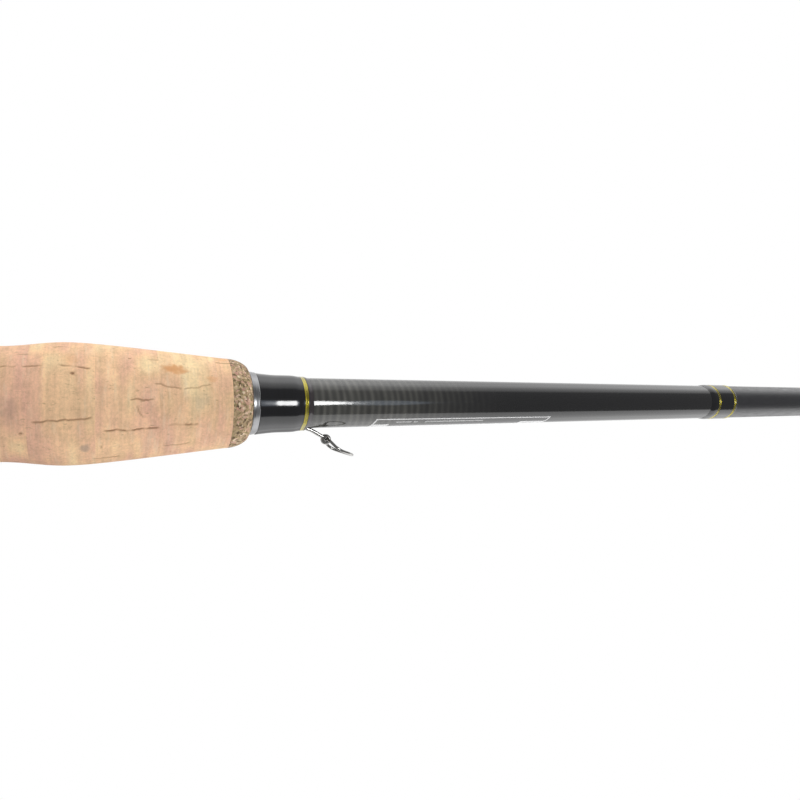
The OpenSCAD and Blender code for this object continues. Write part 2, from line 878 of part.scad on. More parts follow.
module tip_top_frame() {
    ring_r = tip_ring_d / 2 + holder_t(tip_ring_d) / 2;
    color([0.55, 0.56, 0.58])
        difference() {
            union() {
                holder_disc(tip_ring_x, tip_ring_y, tip_ring_d);
                rod_x(tip_tube_x, tip_tube_len, tip_tube_r);
                bar([tip_x, tip_leg_r - tip_tube_r, 0], [tip_ring_x, tip_ring_y + ring_r, 0], tip_leg_r);
                for (side = [-1, 1])
                    bar(
                        [tip_leg_x, 0.2 - tip_tube_r, side * 0.4],
                        [tip_ring_x, tip_ring_y - ring_r * tip_leg_low, side * ring_r * tip_leg_side],
                        tip_leg_r
                    );
            }
            rod_x(tip_ring_x - 20, 40, tip_ring_d / 2 + seat_gap, tip_ring_y);
            turned([
                [tip_tube_x - 1, 0], [tip_tube_x - 1, tip_r(tip_tube_x) + seat_gap],
                [tip_x + 0.1, tip_r(tip_x) + seat_gap], [tip_x + 0.1, 0]
            ]);
        }
}

module tip_top_ring() {
    color([0.1, 0.1, 0.12])
        line_ring(tip_ring_x, tip_ring_y, tip_ring_d, tip_hole_d);
}

module tip_top_wrap() {
    x1 = tip_tube_x - seat_gap;
    color([0.04, 0.04, 0.05])
        plain_wrap(x1 - tip_wrap_len, x1);
}

butt_cap();
butt_trim_ring();
rear_burl_ring_a();
rear_cork_rings();
rear_burl_ring_b();
reel_seat_barrel();
seat_arbors();
fixed_hood();
fixed_hood_liner();
sliding_hood();
sliding_hood_liner();
slip_ring();
lock_nut();
for (i = [1:fore_rings])
    fore_cork_ring(i - 1);
fore_cork_part_ring();
fore_burl_ring();
winding_check();
butt_wrap_black();
butt_wrap_gold();
keeper_bracket();
keeper_loop();
butt_blank();
tip_blank();
trim_wrap_black();
trim_wrap_gold();
ferrule_wrap_black();
ferrule_wrap_gold();
for (i = [1:guide_count]) {
    guide_frame(i - 1);
    guide_ring(i - 1);
    guide_wrap(i - 1);
}
butt_guide_gold();
tip_guide_gold();
tip_top_frame();
tip_top_ring();
tip_top_wrap();
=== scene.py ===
"""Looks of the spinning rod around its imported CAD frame. Metres; X runs from butt to tip, the
guides and the keeper point to -Y, and angles round the rod are measured from +Z towards +Y."""

import json
import math

import bpy
import numpy as np
from mathutils import Matrix, Vector


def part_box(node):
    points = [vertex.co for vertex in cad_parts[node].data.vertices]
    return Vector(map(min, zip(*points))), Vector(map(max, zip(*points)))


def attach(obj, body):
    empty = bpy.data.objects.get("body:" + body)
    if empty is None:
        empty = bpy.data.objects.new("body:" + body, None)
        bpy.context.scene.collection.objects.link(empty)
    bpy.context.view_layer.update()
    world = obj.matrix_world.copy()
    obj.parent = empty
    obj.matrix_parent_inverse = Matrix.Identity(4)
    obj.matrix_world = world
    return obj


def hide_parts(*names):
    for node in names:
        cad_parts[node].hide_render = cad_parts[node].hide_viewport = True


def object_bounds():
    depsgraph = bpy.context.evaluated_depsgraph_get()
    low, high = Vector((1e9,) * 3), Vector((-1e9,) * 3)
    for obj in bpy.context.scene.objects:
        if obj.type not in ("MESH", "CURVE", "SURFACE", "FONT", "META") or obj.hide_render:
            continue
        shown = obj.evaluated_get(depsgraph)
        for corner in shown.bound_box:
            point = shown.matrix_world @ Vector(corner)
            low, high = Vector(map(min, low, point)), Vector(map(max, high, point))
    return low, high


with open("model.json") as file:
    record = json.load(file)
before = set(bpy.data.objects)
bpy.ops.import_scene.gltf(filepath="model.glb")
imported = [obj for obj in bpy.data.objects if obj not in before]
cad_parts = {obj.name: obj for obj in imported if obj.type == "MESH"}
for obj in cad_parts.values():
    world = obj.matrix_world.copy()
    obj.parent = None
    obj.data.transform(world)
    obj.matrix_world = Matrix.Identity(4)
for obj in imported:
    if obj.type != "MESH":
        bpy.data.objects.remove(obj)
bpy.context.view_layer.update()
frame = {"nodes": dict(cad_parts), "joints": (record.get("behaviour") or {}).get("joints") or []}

MM = 0.001
TURN = 2 * math.pi
BUTT = "butt_section"
TIP = "tip_section"

# ---- numbers from the frame


def profile(*nodes):
    """The outer radius of turned CAD nodes against x, as two sorted arrays."""
    co = np.array([v.co for node in nodes for v in frame["nodes"][node].data.vertices])
    co = co[np.argsort(co[:, 0])]
    groups = np.split(co, np.flatnonzero(np.diff(co[:, 0]) > 0.03 * MM) + 1)
    x = np.array([group[:, 0].mean() for group in groups])
    r = np.array([np.hypot(group[:, 1], group[:, 2]).max() for group in groups])
    # Stations with points on the bore alone lie far under the line between their neighbours
    while len(x) > 2:
        line = r[:-2] + (r[2:] - r[:-2]) * (x[1:-1] - x[:-2]) / (x[2:] - x[:-2])
        deep = line - r[1:-1]
        worst = int(deep.argmax())
        if deep[worst] < 0.3 * MM:
            break
        x, r = np.delete(x, worst + 1), np.delete(r, worst + 1)
    return x, r


def hermite(x, xs, rs):
    """A smooth curve through the points xs, rs, read at x."""
    slopes = np.gradient(rs, xs)
    i = np.clip(np.searchsorted(xs, x) - 1, 0, len(xs) - 2)
    h = xs[i + 1] - xs[i]
    t = np.clip((x - xs[i]) / h, 0, 1)
    return (
        (1 + 2 * t) * (1 - t) ** 2 * rs[i]
        + t * (1 - t) ** 2 * h * slopes[i]
        + t * t * (3 - 2 * t) * rs[i + 1]
        + t * t * (t - 1) * h * slopes[i + 1]
    )


def span(node):
    """The first and last x of a CAD node."""
    low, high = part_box(node)
    return low.x, high.x


check_x = span("winding_check")[1] + 0.03 * MM
butt_profile = profile("butt_blank")
tip_profile = profile("tip_blank")
ferrule_x = tip_profile[0][0]


def blank_r(x):
    """The outer radius of the blank at x, which is one number or many."""
    return np.where(x < ferrule_x, np.interp(x, *butt_profile), np.interp(x, *tip_profile))[()]


def ends_r(x0, x1):
    """The blank's radius at two places."""
    return blank_r(np.array([x0, x1]))


def bands_of(node):
    """The first and last x of each separate sleeve in a CAD node."""
    x = np.unique(np.round([v.co.x for v in frame["nodes"][node].data.vertices], 5))
    return [(part[0], part[-1]) for part in np.split(x, np.flatnonzero(np.diff(x) > 2 * MM) + 1)]


# ---- repeatable noise


def lattice(cells, seed):
    """A repeatable number from 0 to 1 for each whole-numbered cell."""
    x, y, z = cells.astype(np.int64).T
    h = (x * 374761393 + y * 668265263 + z * 2147483647 + seed * 974634777) & 0xFFFFFFFF
    h = ((h ^ (h >> 13)) * 1274126177) & 0xFFFFFFFF
    return ((h ^ (h >> 16)) & 0xFFFF) / 65535


def noise(points, size, seed=0):
    """Smooth noise from 0 to 1, with grains of about size (one number or one for each axis)."""
    p = np.asarray(points).reshape(-1, 3) / np.asarray(size)
    cell = np.floor(p)
    f = p - cell
    f = f * f * (3 - 2 * f)
    total = np.zeros(len(p))
    for corner in np.ndindex(2, 2, 2):
        weight = np.prod(np.where(corner, f, 1 - f), axis=1)
        total += weight * lattice(cell + corner, seed)
    return total.reshape(np.asarray(points).shape[:-1])


def smoothstep(low, high, value):
    """0 below low, 1 above high (or the other way round), and a smooth run between."""
    t = np.clip((value - low) / (high - low), 0, 1)
    return t * t * (3 - 2 * t)


# ---- meshes


def points_at(x, y, z):
    """Points from their coordinates, each one number or an array."""
    return np.stack(np.broadcast_arrays(x, y, z), axis=-1)


def round_points(x, r, angle):
    """Points at x, radius r and angle round the rod."""
    return points_at(x, r * np.sin(angle), r * np.cos(angle))


def angles(cols):
    """The angles of the columns of a grid round the rod."""
    return np.arange(cols) * TURN / cols


def grid_faces(rows, cols, first=0, loop=False):
    """Quads of a grid that closes round its columns, and round its rows if loop."""
    index = first + np.arange(rows * cols).reshape(rows, cols)
    if loop:
        index = np.vstack([index, index[:1]])
    side = np.roll(index, -1, axis=1)
    return np.stack([index[:-1], index[1:], side[1:], side[:-1]], axis=-1).reshape(-1, 4)


def add(name, data):
    """An object of the scene that shows a mesh, a lamp or a camera."""
    thing = bpy.data.objects.new(name, data)
    bpy.context.scene.collection.objects.link(thing)
    return thing


def piece_from(name, grids, body, look, nodes=(), loop=True, crease=40, masks=None):
    """One piece from grids of points (rows, columns, 3), in the place of CAD nodes. Loop grids
    are rings, and others are capped at both ends. A look is a slot's name, which is not used,
    and its material, and masks gives a number for each point under an attribute's name."""
    slot, material = look
    vertices, faces = [], []
    first = 0
    for points in grids:
        rows, cols = points.shape[:2]
        vertices.append(points.reshape(-1, 3))
        faces += grid_faces(rows, cols, first, loop).tolist()
        if not loop:
            ring = list(range(first, first + cols))
            faces.append(ring)
            faces.append([first + (rows - 1) * cols + c for c in reversed(range(cols))])
        first += rows * cols
    mesh = bpy.data.meshes.new(name)
    mesh.from_pydata(np.vstack(vertices).tolist(), [], faces)
    for attribute, values in (masks or {}).items():
        layer = mesh.attributes.new(attribute, "FLOAT", "POINT")
        layer.data.foreach_set("value", np.asarray(values, np.float32).ravel())
    mesh.shade_smooth()
    mesh.set_sharp_from_angle(angle=math.radians(crease))
    mesh.materials.append(material)
    piece = add(name, mesh)
    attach(piece, body)
    if nodes:
        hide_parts(*nodes)


def bored(points, ends, bores, a):
    """A sleeve: its outer grid, with a row of the bore before and after it."""
    first, last = (round_points(x, r, a)[None] for x, r in zip(ends, bores))
    return np.concatenate([first, points, last])


def lathe_grid(xs, rs, cols, bores):
    """A turned sleeve: its outer outline xs, rs, and the bore's radius at its two ends."""
    a = angles(cols)
    return bored(round_points(xs[:, None], rs[:, None], a[None, :]), (xs[0], xs[-1]), bores, a)


def turned_grid(outline, cols, centre_y=0.0):
    """A solid of revolution from its closed outline of (x, radius) points in metres."""
    xs, rs = np.array(outline, float).T
    points = round_points(xs[:, None], rs[:, None], angles(cols)[None, :])
    points[..., 1] += centre_y
    return points


def round_edge(size, count):
    """A round edge: how far each of its points lies from the end, and how far under the rim."""
    t = np.linspace(0, math.pi / 2, count)
    return [(size * (1 - math.cos(a)), size * (1 - math.sin(a))) for a in t]


def rounded(x0, x1, r0, r1, edge0, edge1, count, middle=()):
    """An outline from x0 to x1 with round edges of their own sizes, and points between them."""
    first = [(x0 + along, r0 - under) for along, under in round_edge(edge0, count)]
    last = [(x1 - along, r1 - under) for along, under in reversed(round_edge(edge1, count))]
    return [*first, *middle, *last]


def band_outline(x0, x1, r, bore, edge):
    """The outline of a ring whose two outer edges are round."""
    return [(x0, bore), *rounded(x0, x1, r, r, edge, edge, 6), (x1, bore)]


TUBE_COLS = 14
# What is left between a sleeve's bore and the blank
GAP = 0.03 * MM


def tube_grid(path, radii, up=(0, 0, 1)):
    """A round tube along a path of points, with its radius at each or one radius for all."""
    path = np.asarray(path, float)
    tangents = np.gradient(path, axis=0)
    tangents /= np.linalg.norm(tangents, axis=1)[:, None]
    side = np.cross(tangents, up)
    side /= np.linalg.norm(side, axis=1)[:, None]
    top = np.cross(side, tangents)
    a = angles(TUBE_COLS)[None, :, None]
    ring = np.cos(a) * side[:, None] + np.sin(a) * top[:, None]
    return path[:, None] + ring * np.broadcast_to(radii, len(path))[:, None, None]


def bend_path(points, steps=8):
    """A smooth path through a few points (Catmull-Rom)."""
    p = np.asarray(points, float)
    p = np.vstack([2 * p[0] - p[1], p, 2 * p[-1] - p[-2]])
    t = np.linspace(0, 1, steps, endpoint=False)[:, None]
    parts = []
    for before, start, end, after in zip(p, p[1:], p[2:], p[3:]):
        square = 2 * before - 5 * start + 4 * end - after
        cube = 3 * start - before - 3 * end + after
        parts.append(0.5 * (2 * start + (end - before) * t + square * t ** 2 + cube * t ** 3))
    return np.vstack(parts + [p[-2:-1]])


# ---- materials


def new_material(name):
    """A material with its node tree and its Principled shader."""
    mat = bpy.data.materials.new(name)
    mat.use_nodes = True
    return mat, mat.node_tree, mat.node_tree.nodes["Principled BSDF"]


def put(tree, kind, inputs=None, **settings):
    """A shader node, with its inputs set to values or linked to other sockets."""
    node = tree.nodes.new(kind)
    for key, value in settings.items():
        setattr(node, key, value)
    for key, value in (inputs or {}).items():
        if isinstance(value, bpy.types.NodeSocket):
            tree.links.new(value, node.inputs[key])
        else:
            node.inputs[key].default_value = value
    return node


def place(tree, scale):
    """Object coordinates scaled along each axis, in grains a metre."""
    coords = put(tree, "ShaderNodeTexCoord").outputs["Object"]
    return put(tree, "ShaderNodeMapping", {"Vector": coords, "Scale": scale}).outputs["Vector"]


def grain(tree, scale, detail, rough, shift=None):
    """Noise with a number of grains a metre along X, Y and Z."""
    inputs = {"Vector": place(tree, scale), "Scale": 1.0, "Detail": detail, "Roughness": rough}
    if shift is None:
        return put(tree, "ShaderNodeTexNoise", inputs).outputs["Fac"]
    inputs["W"] = shift
    return put(tree, "ShaderNodeTexNoise", inputs, noise_dimensions="4D").outputs["Fac"]


def ramp(tree, value, stops):
    """A ramp from (place, colour) stops."""
    node = put(tree, "ShaderNodeValToRGB", {"Fac": value})
    for _ in range(len(stops) - 2):
        node.color_ramp.elements.new(0.5)
    for element, (at, colour) in zip(node.color_ramp.elements, stops):
        element.position = at
        element.color = (*colour, 1)
    return node.outputs["Color"]


def greys(tree, value, low, high, start=0.3, end=0.7):
    """A grey that goes from low to high as value goes from start to end."""
    return ramp(tree, value, [(start, (low,) * 3), (end, (high,) * 3)])


def mix(tree, factor, a, b, blend_type="MIX"):
    """Colour a blended with b."""
    node = put(tree, "ShaderNodeMix", data_type="RGBA", blend_type=blend_type)
    for socket, value in ((0, factor), (6, a), (7, b)):
        if isinstance(value, bpy.types.NodeSocket):
            tree.links.new(value, node.inputs[socket])
        elif socket:
            node.inputs[socket].default_value = (*value, 1)
        else:
            node.inputs[socket].default_value = value
    return node.outputs[2]


def attribute(tree, name):
    """A mesh attribute as a number."""
    return put(tree, "ShaderNodeAttribute", attribute_name=name).outputs["Fac"]


def bump(tree, shader, height, depth, strength):
    """Small relief from a height of 0 to 1, with its depth in metres."""
    node = put(tree, "ShaderNodeBump", {"Height": height, "Distance": depth, "Strength": strength})
    tree.links.new(node.outputs["Normal"], shader.inputs["Normal"])


def calculate(tree, operation, *values):
    """A sum of numbers and sockets, by the name of its operation."""
    return put(tree, "ShaderNodeMath", dict(enumerate(values)), operation=operation).outputs[0]


def share(tree, value, low, high):
    """0 where value is low, 1 where it is high, and even between them."""
    return put(tree, "ShaderNodeMapRange", {0: value, 1: low, 2: high}).outputs[0]


def camera_sees(tree, shown, others):
    """One shader for the camera and one for everything else."""
    seen = put(tree, "ShaderNodeLightPath").outputs["Is Camera Ray"]
    return put(tree, "ShaderNodeMixShader", {0: seen, 1: others, 2: shown}).outputs[0]


def set_colour(tree, shader, socket):
    """Links a colour to the shader."""
    tree.links.new(socket, shader.inputs["Base Color"])


def set_roughness(tree, shader, value, low, high):
    """Roughness from low to high, as value says."""
    tree.links.new(greys(tree, value, low, high), shader.inputs["Roughness"])


def set_constants(shader, values):
    """Sets the shader's sockets to plain values."""
    for name, value in values.items():
        shader.inputs[name].default_value = value


CORK_TONES = [
    (0.12, (0.86, 0.51, 0.36)), (0.38, (0.93, 0.575, 0.375)),
    (0.62, (0.97, 0.64, 0.38)), (0.9, (0.99, 0.75, 0.44)),
]
BURL_TONES = [
    (0.0, (0.12, 0.08, 0.045)), (0.15, (0.21, 0.15, 0.08)), (0.35, (0.42, 0.30, 0.17)),
    (0.52, (0.32, 0.25, 0.12)), (0.7, (0.54, 0.39, 0.25)), (0.86, (0.50, 0.28, 0.21)),
    (1.0, (0.74, 0.62, 0.43)),
]
# Cork's knots, grey patches and pits, by the mesh attribute that says where they are
CORK_MARKS = {"knot": (0.70, 0.32, 0.12), "grey": (0.33, 0.26, 0.22), "pit": (0.34, 0.19, 0.10)}
TAPE_COLOUR = (0.105, 0.103, 0.092)


def cork_material():
    """Natural cork: tan with pink, yellow and pale patches, growth bands, streaks and pits."""
    mat, tree, shader = new_material("cork")
    ring = attribute(tree, "ring")
    tan = ramp(tree, attribute(tree, "tone"), CORK_TONES)
    bands = greys(tree, grain(tree, (900, 50, 50), 4, 0.65, ring), 0.80, 1.1)
    fine = greys(tree, grain(tree, (1900, 1500, 1500), 3, 0.75), 0.80, 1.1, 0.25, 0.72)
    blotches = greys(tree, grain(tree, (300, 420, 420), 4, 0.7, ring), 0.86, 1.08, 0.3, 0.65)
    for amount, shade in ((0.8, bands), (0.85, fine), (0.85, blotches)):
        tan = mix(tree, amount, tan, shade, "MULTIPLY")
    cream = greys(tree, grain(tree, (1000, 160, 160), 3, 0.6, ring), 0.0, 0.4, 0.54, 0.78)
    tan = mix(tree, cream, tan, (0.95, 0.78, 0.56))
    flecks = greys(tree, grain(tree, (650, 1700, 1700), 2, 0.6, ring), 0.0, 0.5, 0.64, 0.74)
    tan = mix(tree, flecks, tan, (0.36, 0.21, 0.12))
    for mark, dark in CORK_MARKS.items():
        tan = mix(tree, attribute(tree, mark), tan, dark)
    set_colour(tree, shader, tan)
    set_constants(shader, {"Roughness": 0.82, "Specular IOR Level": 0.25})
    bump(tree, shader, grain(tree, (2600, 2600, 2600), 3, 0.7), 0.06 * MM, 0.6)
    return mat


def burl_material():
    """Burl cork: ground bark and cork granules, dark brown to tan."""
    mat, tree, shader = new_material("burl_cork")
    here = place(tree, (1, 1, 1))
    wobble = put(tree, "ShaderNodeTexNoise", {"Vector": here, "Scale": 2200.0}).outputs["Color"]
    shift = {0: wobble, 1: (0.5 * MM,) * 3, 2: here}
    shifted = put(tree, "ShaderNodeVectorMath", shift, operation="MULTIPLY_ADD").outputs["Vector"]
    cells = put(tree, "ShaderNodeTexVoronoi", {"Vector": shifted, "Scale": 2000.0}).outputs
    pick = put(tree, "ShaderNodeSeparateColor", {"Color": cells["Color"]}).outputs["Red"]
    specks = greys(tree, grain(tree, (1500, 1500, 1500), 4, 0.75), 0.55, 1.18, 0.36, 0.56)
    set_colour(tree, shader, mix(tree, 0.85, ramp(tree, pick, BURL_TONES), specks, "MULTIPLY"))
    set_constants(shader, {"Roughness": 0.78, "Specular IOR Level": 0.25})
    bump(tree, shader, cells["Distance"], 0.08 * MM, 0.5)
    return mat


def metal_material(name, base, rough, lines=2500.0, depth=0.01):
    """Turned metal with fine tool marks round it."""
    mat, tree, shader = new_material(name)
    marks = grain(tree, (lines, 30, 30), 2, 0.5)
    set_colour(tree, shader, mix(tree, 0.25, base, greys(tree, marks, 0.75, 1.1), "MULTIPLY"))
    set_roughness(tree, shader, marks, rough * 0.8, rough * 1.25)
    set_constants(shader, {"Metallic": 1.0})
    bump(tree, shader, marks, depth * MM, 0.3)
    return mat


def thread_material(name, base, metallic, rough, coat, ridge=0.0):
    """Thread under clear rod finish: fine turns with small changes of colour along the rod."""
    mat, tree, shader = new_material(name)
    turns = grain(tree, (4200, 60, 60), 2, 0.6)
    dark = tuple(c * 0.55 for c in base)
    set_colour(tree, shader, mix(tree, greys(tree, turns, 0.0, 1.0, 0.35, 0.65), dark, base))
    set_roughness(tree, shader, turns, rough * 0.7, rough * 1.3)
    set_constants(shader, {"Metallic": metallic, "Specular IOR Level": 0.5 if metallic else 0.0})
    set_constants(shader, {"Coat Weight": coat, "Coat Roughness": 0.12})
    if ridge:
        bump(tree, shader, turns, ridge * MM, 0.6)
    return mat


def blank_material(name, base, rough, banded=False):
    """Graphite blank under clear coat; banded shows the tape's turns near the grip."""
    mat, tree, shader = new_material(name)
    dust = greys(tree, grain(tree, (900, 2200, 2200), 3, 0.7), 0.8, 1.25, 0.3, 0.75)
    tone = mix(tree, 0.6, base, dust, "MULTIPLY")
    if banded:
        tone = mix(tree, attribute(tree, "band"), tone, TAPE_COLOUR)
    set_colour(tree, shader, tone)
    set_roughness(tree, shader, grain(tree, (300, 900, 900), 2, 0.6), rough * 0.85, rough * 1.2)
    set_constants(shader, {"IOR": 1.5})
    return mat


def plastic_material(name, base, rough, scale=1800.0, depth=0.02):
    """Moulded plastic or rubber with a fine grain."""
    mat, tree, shader = new_material(name)
    skin = grain(tree, (scale, scale, scale), 3, 0.6)
    dark = tuple(c * 0.7 for c in base)
    set_colour(tree, shader, mix(tree, greys(tree, skin, 0.0, 1.0), dark, base))
    set_roughness(tree, shader, skin, rough * 0.85, min(1, rough * 1.15))
    bump(tree, shader, skin, depth * MM, 0.4)
    return mat


# Each look is a slot and its material
CORK = "cork", cork_material()
BURL = "burl_cork", burl_material()
ALUMINIUM = "bright_aluminium", metal_material("turned_aluminium", (0.225, 0.225, 0.23), 0.26)
STEEL = "keeper_wire", metal_material("keeper_steel", (0.30, 0.295, 0.285), 0.14, 1500.0, 0.004)
GUIDE_STEEL = "guide_metal", metal_material("guide_steel", (0.34, 0.35, 0.37), 0.2, 1500.0, 0.004)
BLACK_THREAD = (
    "black_thread", thread_material("black_thread", (0.006, 0.006, 0.008), 0.0, 0.09, 1.0)
)
GOLD_THREAD = (
    "gold_thread", thread_material("gold_thread", (0.36, 0.30, 0.010), 1.0, 0.28, 0.9, 0.3)
)
BLANK = "blank", blank_material("blank_gloss", (0.014, 0.014, 0.015), 0.09, banded=True)
SATIN = "blank", blank_material("blank_satin", (0.018, 0.018, 0.021), 0.34)
FINISH = "black_thread", blank_material("rod_finish", (0.034, 0.028, 0.030), 0.14)
PRINT = "blank", plastic_material("label_print", (0.78, 0.78, 0.78), 0.5)
PRINT_DIM = "blank", plastic_material("label_print_dim", (0.46, 0.46, 0.46), 0.5)
RUBBER = "butt_rubber", plastic_material("butt_rubber", (0.022, 0.022, 0.022), 0.75)
SEAT = "graphite_seat", plastic_material("seat_graphite", (0.020, 0.020, 0.022), 0.38)
HOOD = "seat_plastic", plastic_material("hood_plastic", (0.016, 0.016, 0.018), 0.25, 900.0)
CERAMIC = "ceramic", plastic_material("ceramic", (0.03, 0.032, 0.036), 0.08, 600.0, 0.002)
# CAD nodes that stay in view keep their slot, and need the material alone
LINER = plastic_material("hood_liner", (0.10, 0.10, 0.105), 0.6)
ARBOR = plastic_material("arbor", (0.45, 0.40, 0.27), 0.7)

# ---- cork


# Marks on the upper side of the foregrip, all by distance behind the check in millimetres and
# angle in degrees. Streaks: start s, start angle, end s, end angle, width in mm, depth 0 to 1
STREAKS = [
    (54.0, 37, 50.2, 37.5, 0.30, 0.6), (49.5, 36, 45.2, 35.5, 0.30, 0.7),
    (42.9, 37, 36.4, 34, 0.32, 0.9), (47.7, -15.5, 36.1, -12.5, 0.32, 0.8),
    (34.6, -25, 22.9, -25.5, 0.32, 1.0), (36.7, -62, 30.7, -61, 0.35, 0.6),
    (29.3, 4, 23.8, 3.5, 0.28, 0.8), (27.8, -1, 26.4, -15, 0.25, 0.6),
    (21.3, -23, 14.5, -23.5, 0.38, 0.8), (24.3, 21, 18.2, 15, 0.28, 0.6),
    (18.2, 15, 11.6, 22, 0.28, 0.5), (22.3, -50, 15.8, -49, 0.30, 0.5),
    (34.9, -40, 34.2, -46, 0.28, 0.6), (51.0, 52, 48.0, 53, 0.30, 0.4),
    (25.5, 52, 22.6, 51, 0.30, 0.4),
]
# Spots for each mask, after their first seed: s, angle, length in mm, width in mm, depth
SPOTS = {
    "pit": (700, [
        (40.0, 28, 0.8, 0.7, 1.0), (49.4, -27.5, 0.8, 0.5, 0.9),
        (29.0, 50, 0.5, 0.5, 0.8), (33.5, 21, 0.6, 0.3, 0.6),
    ]),
    "knot": (720, [
        (19.6, 40, 5.2, 2.6, 0.75), (11.5, 30, 2.6, 2.2, 0.35), (40.5, 43, 3.5, 3.0, 0.2),
    ]),
    "grey": (740, [
        (37.7, -43, 1.9, 2.6, 0.6), (14.0, 2, 3.4, 4.0, 0.22), (51.5, -5, 3.5, 6.0, 0.18),
    ]),
}
# The angles and the distance from the check within which the listed marks are set
SEEN = (-66, 56)
WINDOW_S = 56
PIT_DEPTH = 0.16 * MM
SKIN_DEPTH = 0.02 * MM
# How far a ring reaches into its glue lines, both together, and the open seam of the rear rings
GLUE = 0.08 * MM
SEAM = 0.02 * MM
REAR_RINGS = 17


def streak_mask(s, arc, radius, streak, seed):
    """How deep a streak lies at each point; arc is the distance round the rod in millimetres."""
    s0, a0, s1, a1, width, depth = streak
    v0, v1 = math.radians(a0) * radius, math.radians(a1) * radius
    along = np.array([s1 - s0, v1 - v0])
    length = np.hypot(*along)
    along /= length
    t = (s - s0) * along[0] + (arc - v0) * along[1]
    off = -(s - s0) * along[1] + (arc - v0) * along[0]
    flow = points_at(t, seed, 0)
    off = off + (noise(flow, 1.6, seed) - 0.5) * 0.55 + (noise(flow, 0.5, seed + 7) - 0.5) * 0.18
    broken = smoothstep(0.22, 0.5, noise(flow, 1.1, seed + 3))
    ends = smoothstep(0, 0.7, t) * smoothstep(0, 0.7, length - t)
    return depth * ends * (0.35 + 0.65 * broken) * smoothstep(width, width * 0.15, np.abs(off))


def spot_mask(s, arc, radius, spot, seed):
    """How deep a spot lies at each point, with a ragged edge."""
    s0, a0, long, wide, depth = spot
    u = (s - s0) / (long / 2)
    v = (arc - math.radians(a0) * radius) / (wide / 2)
    edge = noise(points_at(s, arc, 0), 0.7, seed) - 0.5
    return depth * smoothstep(1.25, 0.45, np.hypot(u, v) + edge * 0.7)


def cork_tone(s, arc, seed, by_hand):
    """Where the cork is pinkish (0) and where it is yellowish (1)."""
    at = points_at(s, arc, 0)
    tone = 0.55 * noise(at, (5.0, 9.0, 1.0), seed + 50) + 0.45 * noise(at, (1.6, 5.0, 1.0), seed + 51)
    if by_hand:
        # Near the check the cork is made lighter and yellower on the +Y side, from a soft edge along the
        # top line, and beyond 40 mm it is made darker and pinker all round
        tone = tone + 0.22 * smoothstep(40, 8, s) * smoothstep(-2, 6, arc) - 0.16 * smoothstep(40, 56, s)
    return np.clip(tone, 0, 1)


def draws(rng, *ranges):
    """One random number from each range."""
    return tuple(rng.uniform(*part) for part in ranges)


def cork_masks(x, angle, radius, seed, by_hand):
    """The pit, knot and grey masks and the tone of one ring, with the listed marks on near rings."""
    s = (check_x - x) / MM
    mean = (radius / MM).mean()
    arc = ((angle + math.pi) % TURN - math.pi) * mean
    masks = {key: np.zeros_like(arc) for key in SPOTS}

    def mark(key, shape, where, number):
        """Adds a streak or a spot to a mask."""
        masks[key] = np.maximum(masks[key], shape(s, arc, mean, where, number))

    def taken(at):
        """True on the side the photo shows, where the listed marks are set."""
        return by_hand and SEEN[0] < at < SEEN[1]

    rng = np.random.default_rng(seed)
    low, high, around = s.min(), s.max(), (-180, 180)
    for k in range(9):
        start, long, at = draws(rng, (low - 2, high - 2), (2.5, 9), around)
        width, depth = draws(rng, (0.24, 0.42), (0.4, 1.0))
        if not taken(at):
            streak = (start, at, start + long, at + rng.uniform(-4, 4), width, depth)
            mark("pit", streak_mask, streak, seed + k)
    for k in range(5):
        spot = draws(rng, (low, high), around, (0.4, 1.2), (0.3, 0.8), (0.5, 0.9))
        if not taken(spot[1]):
            mark("pit", spot_mask, spot, seed + 20 + k)
    stain = draws(rng, (low, high), around, (2, 5), (2, 4), (0.2, 0.6))
    if not taken(stain[1]):
        mark("knot", spot_mask, stain, seed + 40)
    if by_hand:
        for k, streak in enumerate(STREAKS):
            mark("pit", streak_mask, streak, 500 + 11 * k)
        for key, (first, spots) in SPOTS.items():
            for k, spot in enumerate(spots):
                mark(key, spot_mask, spot, first + k)
    masks["tone"] = cork_tone(s, arc, seed, by_hand)
    masks["ring"] = np.full_like(arc, seed * 3.7)
    return masks


def cork_grid(x0, x1, outline, rows, cols, seed, by_hand):
    """One cork ring from x0 to x1: its points and its masks, pitted where the masks are."""
    x, angle = np.meshgrid(np.linspace(x0, x1, rows), angles(cols), indexing="ij")
    radius = outline(x)
    masks = cork_masks(x, angle, radius, seed, by_hand)
    at = round_points(x, radius, angle)
    rough = noise(at, 0.7 * MM, seed) - 0.5 + 0.5 * (noise(at, 0.3 * MM, seed + 1) - 0.5)
    radius = radius - PIT_DEPTH * masks["pit"] - SKIN_DEPTH * (0.75 - rough + masks["grey"])
    bores = ends_r(x0, x1) + GAP
    points = bored(round_points(x, radius, angle), (x0, x1), bores, angles(cols))
    return points, {key: np.vstack([mask[:1], mask, mask[-1:]]) for key, mask in masks.items()}


def burl_ring(name, node, outline, rows, cols, power=1):
    """A burl cork ring with small lumps. A power over 1 sets its rows closer at the front."""
    x0, x1 = span(node)
    xs = x1 - (x1 - x0) * np.linspace(1, 0, rows) ** power
    burl = lathe_grid(xs, outline(xs), cols, ends_r(x0, x1))
    lumps = (noise(burl, 0.5 * MM, 90) - 0.5) * 0.05 * MM
    lumps[[0, 1, -2, -1]] = 0
    burl[..., 1:] *= (1 + lumps / np.linalg.norm(burl[..., 1:], axis=-1))[..., None]
    piece_from(name, [burl], BUTT, BURL, [node], crease=60)


